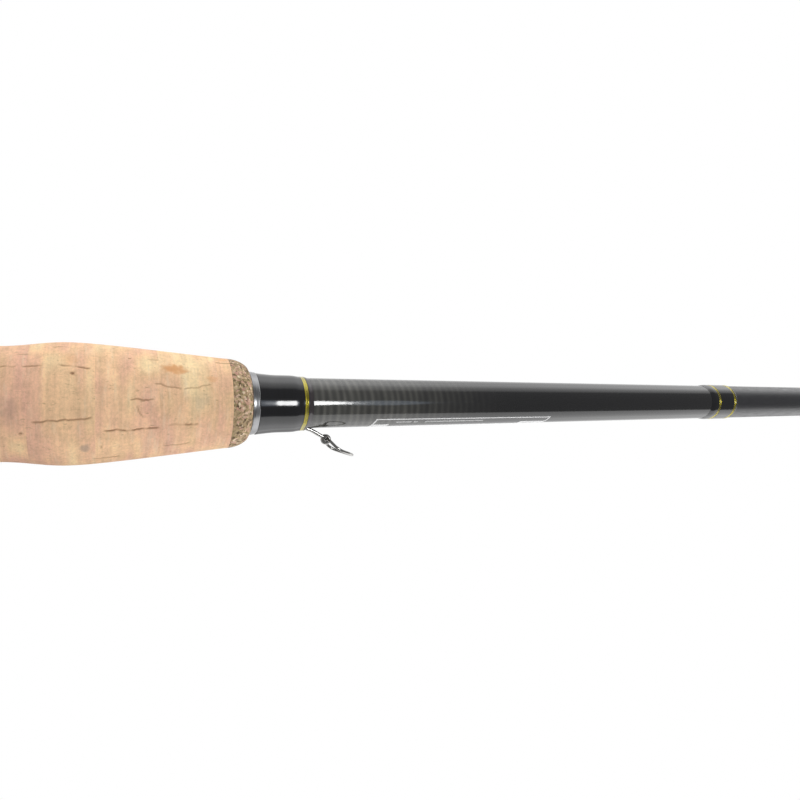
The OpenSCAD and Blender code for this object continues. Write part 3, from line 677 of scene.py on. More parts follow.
def build_foregrip():
    """The foregrip: cork rings, a part ring and a burl ring, turned to one outline."""
    names = [f"fore_cork_ring_{i}" for i in range(1, 8)] + ["fore_cork_part_ring"]
    stations = profile(*names, "fore_burl_ring")

    def outline(x):
        """The radius of the grip at x."""
        return hermite(x, *stations)

    for number, node in enumerate(names, 1):
        x0, x1 = span(node)
        x0, x1 = x0 - GLUE / 2, x1 + GLUE / 2
        near = (check_x - x1) / MM < WINDOW_S
        rows = max(12, int((x1 - x0) / MM / (0.28 if near else 0.8)))
        cols = 520 if near else 240
        points, masks = cork_grid(x0, x1, outline, rows, cols, 30 + number, near)
        name = f"foregrip_cork_{number}"
        piece_from(name, [points], BUTT, CORK, [node], crease=60, masks=masks)
    burl_ring("foregrip_burl", "fore_burl_ring", outline, 34, 300, 1.5)


def build_rear_grip():
    """The rear grip: a straight stack of cork rings with a burl ring at each end."""
    x0, x1 = span("rear_cork_rings")
    pitch = (x1 - x0 + GLUE) / REAR_RINGS
    r = profile("rear_cork_rings")[1].max()

    def outline(x):
        """The same radius at every x."""
        return np.full_like(x, r)

    starts = x0 + np.arange(REAR_RINGS) * pitch
    parts = [
        cork_grid(start, start + pitch - SEAM, outline, 16, 200, 61 + i, False)
        for i, start in enumerate(starts)
    ]
    grids, masks = zip(*parts)
    masks = {key: np.concatenate([mask[key].ravel() for mask in masks]) for key in masks[0]}
    nodes = ["rear_cork_rings"]
    piece_from("rear_cork", grids, BUTT, CORK, nodes, crease=60, masks=masks)
    for end in "ab":
        burl_ring(f"rear_burl_{end}", f"rear_burl_ring_{end}", outline, 20, 200)


def build_check():
    """The winding check: a thin bright ring with a rolled rear edge and a cone to the wrap."""
    x0, x1 = span("winding_check")
    stations, radii = profile("winding_check")
    r0 = radii.max() + 0.15 * MM
    r1 = np.interp(x1 - 0.4 * MM, stations, radii) + 0.2 * MM
    cone = [(x0 + 0.85 * MM, r0 - 0.03 * MM), (x0 + 1.05 * MM, r0 - 0.09 * MM)]
    outline = sorted(rounded(x0, x1, r0, r1, 0.15 * MM, 0.35 * MM, 7, cone))
    grid = lathe_grid(*np.array(outline).T, 240, ends_r(x0, x1))
    piece_from("winding_check_ring", [grid], BUTT, ALUMINIUM, ["winding_check"])


# ---- thread wraps

# A turn of thread, how far its bore stands off the blank, and how thick most wraps are
THREAD = 0.22 * MM
THREAD_BORE = 0.02 * MM
WRAP_RISE = 0.32 * MM
GOLD_TURNS = 4


def wrap_grid(x0, x1, thick, cols=240, samples=6, foot=None, ends=(0, 0)):
    """A thread wrap from x0 to x1. foot=(from, to, half width, height) lifts it over a guide's
    foot on the -Y side, and ends is how far each end's finish takes to run down."""
    ridge = 0.0004 * MM
    xs = np.linspace(x0, x1, max(24, int((x1 - x0) / THREAD * samples)))
    a = angles(cols)
    level = np.interp(xs, [x0, x1], ends_r(x0, x1) + thick)
    rise = level + ridge * np.cos(TURN * (xs - x0) / THREAD) - blank_r(xs)
    rise = np.repeat(rise[:, None], cols, axis=1)
    if foot:
        near, far, half, height = foot
        arc = np.abs((a - math.pi / 2) % TURN - math.pi)[None, :] * blank_r(xs)[:, None]
        along = smoothstep(near - 1.6 * MM, near, xs) * smoothstep(far + 1.6 * MM, far, xs)
        rise += height * smoothstep(half * 2.4, half * 0.8, arc) * along[:, None]
    for edge, run, side in ((x0, ends[0], 1), (x1, ends[1], -1)):
        if run:
            rise *= np.sqrt(0.02 + 0.98 * smoothstep(0, run, side * (xs - edge)))[:, None]
    points = round_points(xs[:, None], blank_r(xs)[:, None] + rise, a[None, :])
    return bored(points, (x0, x1), ends_r(x0, x1) + THREAD_BORE, a)


def plain_wrap(name, node, run, cols, samples):
    """A wrap on the tip section, whose finish runs down to the blank at its first end."""
    wrap = wrap_grid(*span(node), WRAP_RISE, cols=cols, samples=samples, ends=(run, 0))
    piece_from(name, [wrap], TIP, BLACK_THREAD, [node])


def gold_grid(x0, x1, radii, cols=240):
    """A band of a few turns of metallic thread, each turn round."""
    xs = np.linspace(x0, x1, GOLD_TURNS * 10 + 1)
    phase = (xs - x0) / (x1 - x0) * GOLD_TURNS
    rs = np.interp(xs, [x0, x1], radii) - 0.05 * MM * np.cos(math.pi * phase) ** 2
    return lathe_grid(xs, rs, cols, ends_r(x0, x1) + THREAD_BORE)


def gold_bands(name, node, body, rise=WRAP_RISE, cols=120):
    """Gold bands in the place of a CAD node's sleeves."""
    golds = [gold_grid(a, b, ends_r(a, b) + rise, cols) for a, b in bands_of(node)]
    piece_from(name, golds, body, GOLD_THREAD, [node])


def lift_over_foot(grid, near, far, half, height):
    """Raises the outer rows of a sleeve, all but the bore's, over a foot on the -Y side."""
    outer = grid[1:-1]
    r = np.hypot(outer[..., 1], outer[..., 2])
    arc = np.abs(np.arctan2(outer[..., 2], -outer[..., 1])) * r
    x = outer[..., 0]
    along = smoothstep(near, near + 1.0 * MM, x) * smoothstep(far, far - 1.0 * MM, x)
    lift = height * smoothstep(half * 2.4, half * 0.8, arc) * along
    outer[..., 1:] *= (1 + lift / r)[..., None]


def build_butt_wrap():
    x0, x1 = span("butt_wrap_black")
    g0, g1 = span("butt_wrap_gold")
    end = g1 + 1.3 * MM
    xs = np.linspace(x0, x1, int((x1 - x0) / THREAD * 8))
    # The finish thins quickly from the check, lies nearly level, then runs down to the gold band
    thick = np.array([1.0, 0.82, 0.66, 0.51, 0.38, 0.32, 0.285, 0.25, 0.225, 0.145, 0.065, 0.0])
    stations = x0 + np.array([0, 1, 2, 3, 4, 4.8, 6.4, 8.2, 8.8, 9.6, 10.4, 11.04]) * MM
    r_back = profile("butt_wrap_black")[1].max() - 0.01 * MM
    r_front = np.interp(x1, *profile("butt_wrap_gold")) - 0.1 * MM
    rs = r_front + (r_back - r_front) * hermite(xs, stations, thick)
    ridge, build_up = 0.0003 * MM, 0.13 * MM
    rs = rs + ridge * np.cos(TURN * (xs - x0) / THREAD)
    rs = rs + build_up * smoothstep(x0 + 11.0 * MM, x0 + 9.2 * MM, xs)
    wrap = lathe_grid(xs, rs, 300, ends_r(x0, x1))
    gold = gold_grid(g0, g1, (r_front + 0.02 * MM, r_front - 0.03 * MM))
    fs = np.linspace(g1, end, 14)
    t = (fs - g1) / (end - g1)
    fr = blank_r(fs) + (r_front - 0.04 * MM - blank_r(g1)) * (1 - smoothstep(0, 1, t)) + 0.012 * MM
    drop = lathe_grid(fs, fr, 240, ends_r(g1, end))
    # The keeper's foot lies under the thread, from the check to the finish
    for grid in (wrap, gold, drop):
        lift_over_foot(grid, x0 - 1.0 * MM, end, 1.2 * MM, 0.3 * MM)
    piece_from("butt_wrap_thread", [wrap], BUTT, BLACK_THREAD, ["butt_wrap_black"])
    piece_from("butt_wrap_gold_band", [gold], BUTT, GOLD_THREAD, ["butt_wrap_gold"])
    piece_from("butt_wrap_finish", [drop], BUTT, FINISH)


def build_trim_wrap():
    """The wrap up the blank, whose two gold bands part it in three."""
    x0, x1 = span("trim_wrap_black")
    rise = profile("trim_wrap_black")[1].max() - blank_r(x0)
    edges = [x0, *(edge for band in bands_of("trim_wrap_gold") for edge in band), x1]
    # The outermost edges run down to the blank
    runs = ((2.2 * MM, 0), (0, 0), (0, 0.7 * MM))
    parts = zip(edges[::2], edges[1::2], runs)
    blacks = [wrap_grid(a, b, rise, ends=ends) for a, b, ends in parts]
    piece_from("trim_wrap_thread", blacks, BUTT, BLACK_THREAD, ["trim_wrap_black"])
    gold_bands("trim_wrap_gold_bands", "trim_wrap_gold", BUTT, rise, 240)


# ---- blank and label

TAPE_PITCH = 1.84 * MM
BLANK_WALL = 1.0 * MM
# A print's upper side stands over the blank, and its lower side lies in it
PRINT_RISE = 0.03 * MM
PRINT_SINK = 0.02 * MM


def blank_part(name, x0, x1, rows, cols, look):
    """A length of the butt section's tube, with its tape turns near the grip."""
    x, angle = np.meshgrid(np.linspace(x0, x1, rows), angles(cols), indexing="ij")
    s = (x - check_x) / MM
    fade = smoothstep(9, 12, s) * (1 - smoothstep(18, 72, s))
    warp = noise(points_at(x / MM, angle * 6, 0), (2.4, 9.0, 1.0), 12) - 0.5
    wave = 0.5 + 0.5 * np.cos(TURN * (x / TAPE_PITCH + angle / TURN + 0.25 * warp))
    patchy = noise(points_at(x / MM, angle * 6, 5), (1.3, 5.0, 1.0), 13)
    band = fade * (0.45 + 0.55 * wave ** 1.5) * (0.55 + 0.6 * patchy)
    r = blank_r(x) + 0.0012 * MM * fade * (wave - 0.5)
    bores = ends_r(x0, x1) - BLANK_WALL
    points = bored(round_points(x, r, angle), (x0, x1), bores, angles(cols))
    mask = np.vstack([band[:1] * 0, band, band[-1:] * 0])
    piece_from(name, [points], BUTT, look, ["butt_blank"], masks={"band": mask})


def build_butt_blank():
    """The butt section: clear gloss near the grip, satin beyond the trim wrap."""
    x0, x1 = span("butt_blank")
    start = check_x + 1 * MM
    change = span("trim_wrap_black")[0] + 2 * MM
    blank_part("butt_blank_inside", x0, start, 6, 96, BLANK)
    blank_part("butt_blank_gloss", start, change, 620, 192, BLANK)
    blank_part("butt_blank_satin", change, x1, 24, 192, SATIN)


def ring_point(s, degrees, rise):
    """A point on the blank, s millimetres beyond the check and at an angle round the rod."""
    x = check_x + s * MM
    r = blank_r(x) + rise
    a = math.radians(degrees)
    return (x, r * math.sin(a), r * math.cos(a))


def patch(*corners):
    """A thin printed patch on the blank from four (s, angle) corners, as one closed grid."""
    low0, low1, high1, high0 = np.array(corners, float)
    rows = []
    for t in np.linspace(0, 1, max(2, int(abs(low1[0] - low0[0]) / 1.5) + 2)):
        low = low0 + (low1 - low0) * t
        high = high0 + (high1 - high0) * t
        line = [low + (high - low) * u for u in np.linspace(0, 1, 10)]
        top = [ring_point(s, a, PRINT_RISE) for s, a in line]
        bottom = [ring_point(s, a, -PRINT_SINK) for s, a in reversed(line)]
        rows.append(top + bottom)
    return np.array(rows)


def block(upper, top, lower, low):
    """A patch between two angles, from its first and last s at each."""
    return patch((upper[0], top), (upper[1], top), (lower[1], low), (lower[0], low))


# Plain bars in the label's frame: start beyond the check and length, both in millimetres
LABEL_BARS = [(36.6, 4.6), (41.7, 1.4), (45.2, 18.2)]


def build_label():
    """A slim printed frame with slanted ends and three plain bars, without any lettering."""
    line = 0.36
    side = line * 1.3
    turn = math.degrees(line / 6.2)
    top, top_end, low = -41.4, -43.6, -79.0
    left, right = 30.6, 86.0
    slant = 1.2
    low_left, low_right = left - slant, right - slant
    grids = [
        patch((left, top), (right, top_end), (right, top_end - turn), (left, top - turn)),
        patch((low_left, low), (low_right, low), (low_right, low - turn), (low_left, low - turn)),
        block((left, left + side), top, (low_left, low_left + side), low),
        block((right, right - side), top_end, (low_right, low_right - side), low),
        block((left - 0.5, left + 4.3), -63.5, (left - 1.1, left + 4.0), low),
        block((right - 9.6, right - 0.7), -64, (right - 10.2, right - 1.2), low),
    ]
    piece_from("blank_label", grids, BUTT, PRINT, loop=False, crease=30)
    bars = [
        block((s, s + long), -51.5, (s - 0.2, s + long - 0.2), -56.5) for s, long in LABEL_BARS
    ]
    piece_from("blank_label_bars", bars, BUTT, PRINT_DIM, loop=False, crease=30)


# ---- hook keeper


def build_keeper():
    """The wire keeper: two legs from under the wrap to an eye, and the folding loop."""
    loop_low, loop_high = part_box("keeper_loop")
    joint = next(j for j in frame["joints"] if j["name"] == "keeper_fold")
    px, py, _ = joint["pos_m"]
    root_x = check_x + 13.4 * MM
    root_y = -blank_r(root_x) - 0.42 * MM
    wire, loop_wire, eye_r = 0.42 * MM, 0.375 * MM, 0.93 * MM
    grids = []
    for z in (-0.62 * MM, 0.62 * MM):
        path = bend_path([
            (root_x - 1.6 * MM, root_y + 1.1 * MM, z), (root_x, root_y + 0.25 * MM, z),
            (root_x + 1.2 * MM, root_y - 0.2 * MM, z),
            ((root_x + px) / 2 + 0.6 * MM, (root_y + py) / 2, z),
            (px - 0.9 * MM, py + 0.75 * MM, z),
        ])
        grids.append(tube_grid(path, wire))
    # The eye: two turns of the same wire round the pin
    a = np.linspace(math.radians(150), math.radians(150) - 2.2 * TURN, 64)
    z = np.linspace(-0.75, 0.75, 64) * MM
    coil = points_at(px + eye_r * np.cos(a), py + eye_r * np.sin(a), z)
    grids.append(tube_grid(coil, wire))
    piece_from("keeper_legs", grids, BUTT, STEEL, ["keeper_bracket"], loop=False)
    half = (loop_high.z - loop_low.z) / 2 - 0.36 * MM
    # Half of the oval ring from the eye to the end: along, away from the blank, and across
    ring = [(0, 0, 0), (0, 0, 0.36), (0.5, -0.45, 0.74), (1.7, -1.8, 0.98), (3.2, -2.8, 1.0)]
    ring += [(5.2, -3.55, 0.84), (6.6, -4.05, 0.46)]
    points = [(px + x * MM, py + y * MM, half * z) for x, y, z in ring]
    mirrored = [(x, y, -z) for x, y, z in reversed(points)]
    path = bend_path(points + [(px + 7.1 * MM, py - 4.25 * MM, 0)] + mirrored)
    # The path starts and ends inside the eye, so its two ends meet in the pin
    grid = tube_grid(path, loop_wire, up=(0.35, 1, 0.12))
    piece_from("keeper_ring", [grid], "keeper", STEEL, ["keeper_loop"], loop=False)


# ---- butt end and reel seat


def build_butt_end():
    """The rubber cap, with a moulded ring in its end, a vent and three grooves, and its trim ring."""
    x1 = span("butt_cap")[1]
    r = profile("butt_cap")[1].max()
    vent, dome, groove, wall = 0.3 * MM, 2.5 * MM, 0.35 * MM, 4.0 * MM
    bore = blank_r(0) + 0.1 * MM
    outline = [(0, vent), (0, 6.4 * MM), (groove, 6.8 * MM), (groove, 7.8 * MM), (0, 8.2 * MM)]
    outline += [(along, r - under) for along, under in round_edge(dome, 10)]
    for middle in (12.5 * MM, 15.5 * MM, 18.5 * MM):
        for at, depth in ((-0.8, 0), (-0.5, 0.7), (-0.2, 1), (0.2, 1), (0.5, 0.7), (0.8, 0)):
            outline.append((middle + at * MM, r - depth * groove))
    outline += [(x1 - 0.4 * MM, r), (x1 - 0.1 * MM, r - 0.1 * MM), (x1, r - 0.4 * MM)]
    outline += [(x1, bore), (wall, bore), (wall, vent)]
    cap = turned_grid(outline, 200)
    piece_from("butt_cap_rubber", [cap], BUTT, RUBBER, ["butt_cap"], crease=50)
    x0, x1 = span("butt_trim_ring")
    ring = turned_grid(band_outline(x0, x1, r, blank_r(x0) + GAP, 0.45 * MM), 240)
    piece_from("butt_ring", [ring], BUTT, ALUMINIUM, ["butt_trim_ring"])


THREAD_PITCH = 2.5 * MM
THREAD_DEPTH = 0.8 * MM
KEYWAY_HALF = 1.0 * MM
FOOT_FLAT = 0.6 * MM
POCKET_DEPTH = 15 * MM
THREADED_X = (3 * MM, 63 * MM)
BARREL_BORE = 8.1 * MM
BARREL_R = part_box("reel_seat_barrel")[1].z


def build_barrel():
    """The threaded barrel: a helical thread, a flat under the reel foot and a keyway opposite."""
    x0, x1 = span("reel_seat_barrel")
    start, end = (x0 + at for at in THREADED_X)
    threaded = np.arange(x0, end + 1.5 * MM, THREAD_PITCH / 10)
    plain = np.linspace(threaded[-1] + 0.5 * MM, x1 - 0.3 * MM, 12)
    a = angles(240)
    x, angle = np.meshgrid(np.concatenate([threaded, plain, [x1]]), a, indexing="ij")
    turn = ((x - start) / THREAD_PITCH - angle / TURN) % 1
    root = np.clip(np.abs(turn - 0.375) * 4 - 0.5, 0, 1)
    cut = np.where(x < start, 1.0, root * smoothstep(end + 0.8 * MM, end - 0.4 * MM, x))
    radius = BARREL_R - THREAD_DEPTH * cut
    radius[-1] -= 0.3 * MM
    side = np.sin(angle)
    radius = np.minimum(radius, (BARREL_R - FOOT_FLAT) / np.maximum(-side, 0.2))
    in_keyway = (side > 0) & (np.abs(radius * np.cos(angle)) < KEYWAY_HALF) & (x < end + 8 * MM)
    keyway = np.minimum(radius, (BARREL_R - THREAD_DEPTH) / np.maximum(side, 0.5))
    radius = np.where(in_keyway, keyway, radius)
    barrel = bored(round_points(x, radius, angle), (x0, x1), (BARREL_BORE, BARREL_BORE), a)
    piece_from("seat_barrel", [barrel], BUTT, SEAT, ["reel_seat_barrel"], crease=35)


def build_hood(name, node, body, mouth_x, closed_x, gap, key):
    """A moulded hood: a collar and a bulge over the reel foot, with the pocket open at the mouth."""
    collar, bulge_r, pocket_r, drop = BARREL_R + 2.4 * MM, 11.2 * MM, 10.2 * MM, 5.2 * MM
    foot_y, foot_z = BARREL_R - FOOT_FLAT, 9.38 * MM
    corner = math.acos(foot_y / math.hypot(foot_y, foot_z))
    edges = [
        1.5 * math.pi + side * (corner + shift) for side in (-1, 1) for shift in (-0.002, 0.002)
    ]
    a = np.sort(np.concatenate([angles(240), edges]))
    down, across = -np.sin(a), np.cos(a)
    length = abs(closed_x - mouth_x)
    way = math.copysign(1, closed_x - mouth_x)

    def circle(radius):
        """The reach of a circle round the foot's side of the barrel, from the rod's axis."""
        return drop * down + np.sqrt(radius ** 2 - (drop * across) ** 2)

    bulge = circle(bulge_r)
    bore = np.full(len(a), BARREL_R + gap)
    pocket = np.where(down > math.cos(corner), np.maximum(bore, circle(pocket_r)), bore)
    edge, blend, closed_r = 0.5 * MM, 0.5 * MM, 13.2 * MM
    level = [(d, 0) for d in np.linspace(edge, length - 2 * edge, 26)[1:-1]]
    outer = [*round_edge(edge, 6), *level]
    outer += [(length - along, under) for along, under in reversed(round_edge(2 * edge, 6))]
    rows = []
    for d, under in outer:
        # The bulge stands highest at the mouth and sinks into the collar at the closed end
        wide = np.minimum(bulge, closed_r + 3.2 * MM * (1 - (d / length) ** 4))
        r = 0.5 * (collar + wide + np.sqrt((collar - wide) ** 2 + blend ** 2)) - 0.2 * MM - under
        rows.append((d, r))
    in_key = key & (down < 0) & (np.abs(across * bore) < 0.8 * MM)
    keyed = np.where(in_key, BARREL_R - 0.6 * MM, bore)
    ledge = length - 2 * MM
    rows += [(length, bore), (ledge, bore), (ledge, keyed), (POCKET_DEPTH, keyed)]
    rows += [(POCKET_DEPTH, pocket), (edge, pocket), (0, pocket + 0.15 * MM)]
    hood = np.array([round_points(np.full(len(a), mouth_x + way * d), r, a) for d, r in rows])
    piece_from(name, [hood[:: int(way)]], body, HOOD, [node], crease=45)


def build_nut():
    """The lock nut: round flutes, a chamfer at each end and a groove next to the slip ring."""
    x0, x1 = span("lock_nut")
    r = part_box("lock_nut")[1].z
    flutes, cutter, slope, end = 24, 1.0 * MM, 0.9 * MM, 2.0 * MM
    a = angles(flutes * 16)
    across = (np.abs((a * flutes / TURN + 0.5) % 1 - 0.5)) * TURN / flutes * r
    depth = np.maximum(0, np.sqrt(np.maximum(0, cutter ** 2 - across ** 2)) - 0.35 * cutter)
    xs = [x0, x0 + 0.25 * MM, x0 + slope, x0 + 1.4 * MM]
    xs += list(np.linspace(x0 + end, x1 - end, 22))
    xs += [x1 - 1.5 * MM, x1 - 1.4 * MM, x1 - 1.0 * MM, x1 - slope, x1 - 0.25 * MM, x1]
    rows = []
    for x in xs:
        near = min(x - x0, x1 - x)
        chamfer = slope * (1 - min(1, near / slope)) ** 1.6
        inside = min(1, max(0, (near - 1.7 * MM) / slope))
        groove = 0.25 * MM if x1 - 1.45 * MM < x < x1 - 0.95 * MM else 0
        rows.append(round_points(x, r - chamfer - groove - depth * math.sqrt(inside), a))
    bore = BARREL_R + 0.08 * MM
    nut = bored(np.array(rows), (x0, x1), (bore, bore), a)
    piece_from("seat_lock_nut", [nut], "nut", HOOD, ["lock_nut"], crease=35)


def build_reel_seat():
    """The reel seat: barrel, fixed hood, sliding hood with its slip ring, and lock nut."""
    build_barrel()
    x0, x1 = span("fixed_hood")
    build_hood("seat_fixed_hood", "fixed_hood", BUTT, x0, x1, GAP, False)
    x0, x1 = span("sliding_hood")
    build_hood("seat_sliding_hood", "sliding_hood", "hood", x1, x0, 0.1 * MM, True)
    x0, x1 = span("slip_ring")
    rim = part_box("slip_ring")[1].z
    ring = turned_grid(band_outline(x0, x1, rim, BARREL_R + 0.1 * MM, 0.2 * MM), 240)
    piece_from("seat_slip_ring", [ring], "hood", ALUMINIUM, ["slip_ring"])
    build_nut()


# ---- tip section


def build_tip_blank():
    """The tip section's tube, open at the ferrule, with its black wrap and gold band."""
    x0, x1 = span("tip_blank")
    outer = np.concatenate([np.linspace(x0, x0 + 75 * MM, 24), np.linspace(x0 + 90 * MM, x1, 60)])
    socket_xs = np.linspace(x0 + 64.9 * MM, x0, 8)
    socket = [(x, np.interp(x, *butt_profile) + GAP) for x in socket_xs]
    # The bore: narrow at the tip's end, then wider and wider up to the socket
    narrow, wide = 0.15 * MM, 0.75 * MM
    change = x1 - 71 * MM
    inner = [(x1, narrow), (change, narrow), (change, wide), (x0 + 68 * MM, 3.2 * MM)]
    rs = blank_r(outer)
    rs[0] -= 0.2 * MM
    outline = list(zip(outer, rs)) + inner + socket[:-1] + [(x0, socket[-1][1] + 0.15 * MM)]
    outline.insert(1, (x0 + 0.2 * MM, blank_r(x0 + 0.2 * MM)))
    tube = turned_grid(outline, 120)
    piece_from("tip_blank_tube", [tube], TIP, SATIN, ["tip_blank"], crease=35)
    plain_wrap("ferrule_thread", "ferrule_wrap_black", 1.4 * MM, 160, 3)
    gold_bands("ferrule_gold_band", "ferrule_wrap_gold", TIP)


# ---- guides

GUIDE_COUNT = 7
# The functions below give a guide's sizes by the outer diameter of its ceramic ring


def holder_t(size):
    """The thickness of the metal ring round the ceramic one."""
    return 0.5 * MM + 0.014 * size


def leg_r(size):
    """The radius of a leg."""
    return 0.42 * MM + 0.012 * size


def foot_half(size):
    """Half the width of a foot."""
    return (1.4 * MM + 0.03 * size) / 2


def foot_t(size):
    """The thickness of a foot."""
    return 0.45 * MM + 0.008 * size


def ceramic_ring(name, node, body):
    """A ceramic ring, round towards its hole. It returns its centre's x and y, its diameter, and
    the grid of the metal ring that holds it."""
    box_low, box_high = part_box(node)
    x, y = (box_low.x + box_high.x) / 2, (box_low.y + box_high.y) / 2
    size, half = box_high.y - box_low.y, (box_high.x - box_low.x) / 2
    hole = min(math.hypot(v.co.y - y, v.co.z) for v in frame["nodes"][node].data.vertices)
    rim, edge = size / 2, 0.15 * MM
    lip = 0.6 * (rim - hole)
    t = np.linspace(-math.pi / 2, math.pi / 2, 17)
    outline = [(x - half + edge, rim), (x + half - edge, rim), (x + half, rim - edge)]
    outline += [(x + half * math.sin(a), hole + lip * (1 - math.cos(a))) for a in reversed(t)]
    outline.append((x - half, rim - edge))
    holder_half = half - 0.15 * MM
    ends = (x - holder_half, x + holder_half)
    holder = band_outline(*ends, rim + holder_t(size), rim + GAP, 0.3 * MM)
    piece_from(name, [turned_grid(outline, 128, y)], body, CERAMIC, [node])
    return x, y, size, turned_grid(holder, 128, y)


def leg(points, radius):
    """A round leg, thicker towards both ends, where it is brazed."""
    path = bend_path(points, 7)
    t = np.linspace(0, 1, len(path))
    return tube_grid(path, radius * (0.9 + 0.22 * np.abs(2 * t - 1) ** 3))


def bowed(start, end, bow):
    """Two bends between the ends of a leg, off the straight line by bow."""
    return [start * 0.6 + end * 0.4 + bow, start * 0.2 + end * 0.8 + bow / 2]


def foot_grid(start, end, size):
    """A ground foot, flat and thinner towards its end."""
    xs = np.linspace(start, end, 20)
    t = np.linspace(0, 1, 20)[:, None]
    thick = foot_t(size) * (1 - 0.5 * t)
    under = np.maximum(blank_r(xs), blank_r(max(start, end)))[:, None] + GAP
    tip = np.sqrt(np.clip((1 - t) * 6, 0.1, 1))
    a = angles(20)
    square = 1 / np.maximum(np.abs(np.cos(a)), np.abs(np.sin(a))) ** 0.6
    flip = -1 if end > start else 1
    y = thick / 2 * (flip * square * np.cos(a) - 1) - under
    z = foot_half(size) * tip * square * np.sin(a)
    return points_at(xs[:, None], y, z)


def build_guide(number):
    """One line guide: ceramic ring, holder, bent legs, ground feet and the thread over them."""
    body = TIP if number > 1 else BUTT
    parts = ("ring", "frame", "wrap")
    ring_node, frame_node, wrap_node = (f"guide_{part}_{number}" for part in parts)
    x, y, size, holder = ceramic_ring(f"guide_{number}_ceramic", ring_node, body)
    low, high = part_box(frame_node)
    ring_r = size / 2 + holder_t(size) / 2
    reach = 2.5 * MM + 0.48 * size
    feet = [(1, reach, 35, high.x)]
    if x - low.x > reach:
        feet.append((-1, 1.3 * reach, 60, low.x))
    grids, wraps = [holder], []
    for way, span_x, degrees, foot_end in feet:
        turn = math.radians(degrees)
        foot_x = x + way * span_x
        foot_y = -blank_r(min(foot_x, foot_end)) - GAP - leg_r(size)
        inset = max(0.05 * MM, foot_half(size) - leg_r(size))
        for side in (-1, 1):
            top = np.array([x, y + ring_r * math.cos(turn), side * ring_r * math.sin(turn)])
            root = np.array([foot_x, foot_y, side * inset])
            bow = np.array([way * 0.04 * size, -0.03 * size, 0])
            tail = [foot_x + way * 1.8 * MM, foot_y + 0.1 * MM, side * inset * 0.9]
            grids.append(leg([top, *bowed(top, root, bow), root, tail], leg_r(size)))
        grids.append(foot_grid(foot_x - way * 0.3 * MM, foot_end, size))
        a, b = next(band for band in bands_of(wrap_node) if (band[0] - x) * way > 0)
        hump = (a - 9 * MM, foot_end) if way > 0 else (foot_end, b + 9 * MM)
        ends = (0.9 * MM, 0) if way > 0 else (0, 0.9 * MM)
        foot = (*hump, foot_half(size), foot_t(size))
        wraps.append(wrap_grid(a, b, WRAP_RISE, cols=120, samples=1.1, foot=foot, ends=ends))
    piece_from(f"guide_{number}_metal", grids[:1], body, GUIDE_STEEL, [frame_node])
    piece_from(f"guide_{number}_legs", grids[1:], body, GUIDE_STEEL, loop=False)
    piece_from(f"guide_{number}_thread", wraps, body, BLACK_THREAD, [wrap_node])


def build_guide_golds():
    """The gold bands of all guides of a section, which are one CAD node each."""
    gold_bands("butt_guide_gold_bands", "butt_guide_gold", BUTT)
    gold_bands("tip_guide_gold_bands", "tip_guide_gold", TIP)


def build_tip_top():
    """The tip-top: a tube on the blank, a centre leg, two side legs and its ring."""
    x, y, size, holder = ceramic_ring("tip_top_ceramic", "tip_top_ring", TIP)
    x0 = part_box("tip_top_frame")[0].x
    tip_x = span("tip_blank")[1]
    tube_r, wire = 1.65 * MM, 0.5 * MM
    bore0, bore1 = ends_r(x0, tip_x) + GAP
    tube = turned_grid(band_outline(x0, tip_x + 0.1 * MM, tube_r, bore1, 0.3 * MM), 96)
    tube[0, :, 1:] *= bore0 / bore1
    piece_from("tip_top_tube", [holder, tube], TIP, GUIDE_STEEL, ["tip_top_frame"])
    ring_r = size / 2 + holder_t(size) / 2
    keel = wire - tube_r
    legs = [leg([(tip_x - 3 * MM, keel, 0), (tip_x, keel, 0), (x, y + ring_r, 0)], wire)]
    for side in (-1, 1):
        root = np.array([tip_x - 11 * MM, 0.2 * MM - tube_r, side * 0.4 * MM])
        top = np.array([x, y - ring_r * 0.35, side * ring_r * 0.93])
        bow = np.array([0, 0.25 * MM, side * 0.35 * MM])
        tail = root + np.array([-1.2 * MM, 0.35 * MM, 0])
        legs.append(leg([tail, root, *bowed(root, top, bow), top], wire))
    piece_from("tip_top_legs", legs, TIP, GUIDE_STEEL, loop=False)
    plain_wrap("tip_top_thread", "tip_top_wrap", 0.8 * MM, 96, 2)


def dress(material, *nodes):
    """Gives CAD nodes that stay in view a better material."""
    for node in nodes:
        materials = frame["nodes"][node].data.materials
        materials.clear()
        materials.append(material)


# ---- stage

# The floor's light from below: near the rod, dim beside the grip, and far from the rod
FLOOR_NEAR = 0.9
FLOOR_DIM = 0.12
FLOOR_FAR = 2.1
FLOOR_HALF = 30.0
# The tent's colours are grey ramps of at most 1, so its strength makes up for the rest
TENT_STRENGTH = 3.0
# The lamps' target on the rod, beyond the check
LAMP_X = 12 * MM
# The camera's place from the check, its lean towards the tip as a sine and cosine, and its roll
CAMERA_AT = (-33.77 * MM, 0.77 * MM, 164.65 * MM)
LEAN_SIN, LEAN_COS = 0.4058, 0.9140
ROLL = -0.06
LENS_MM = 29.87


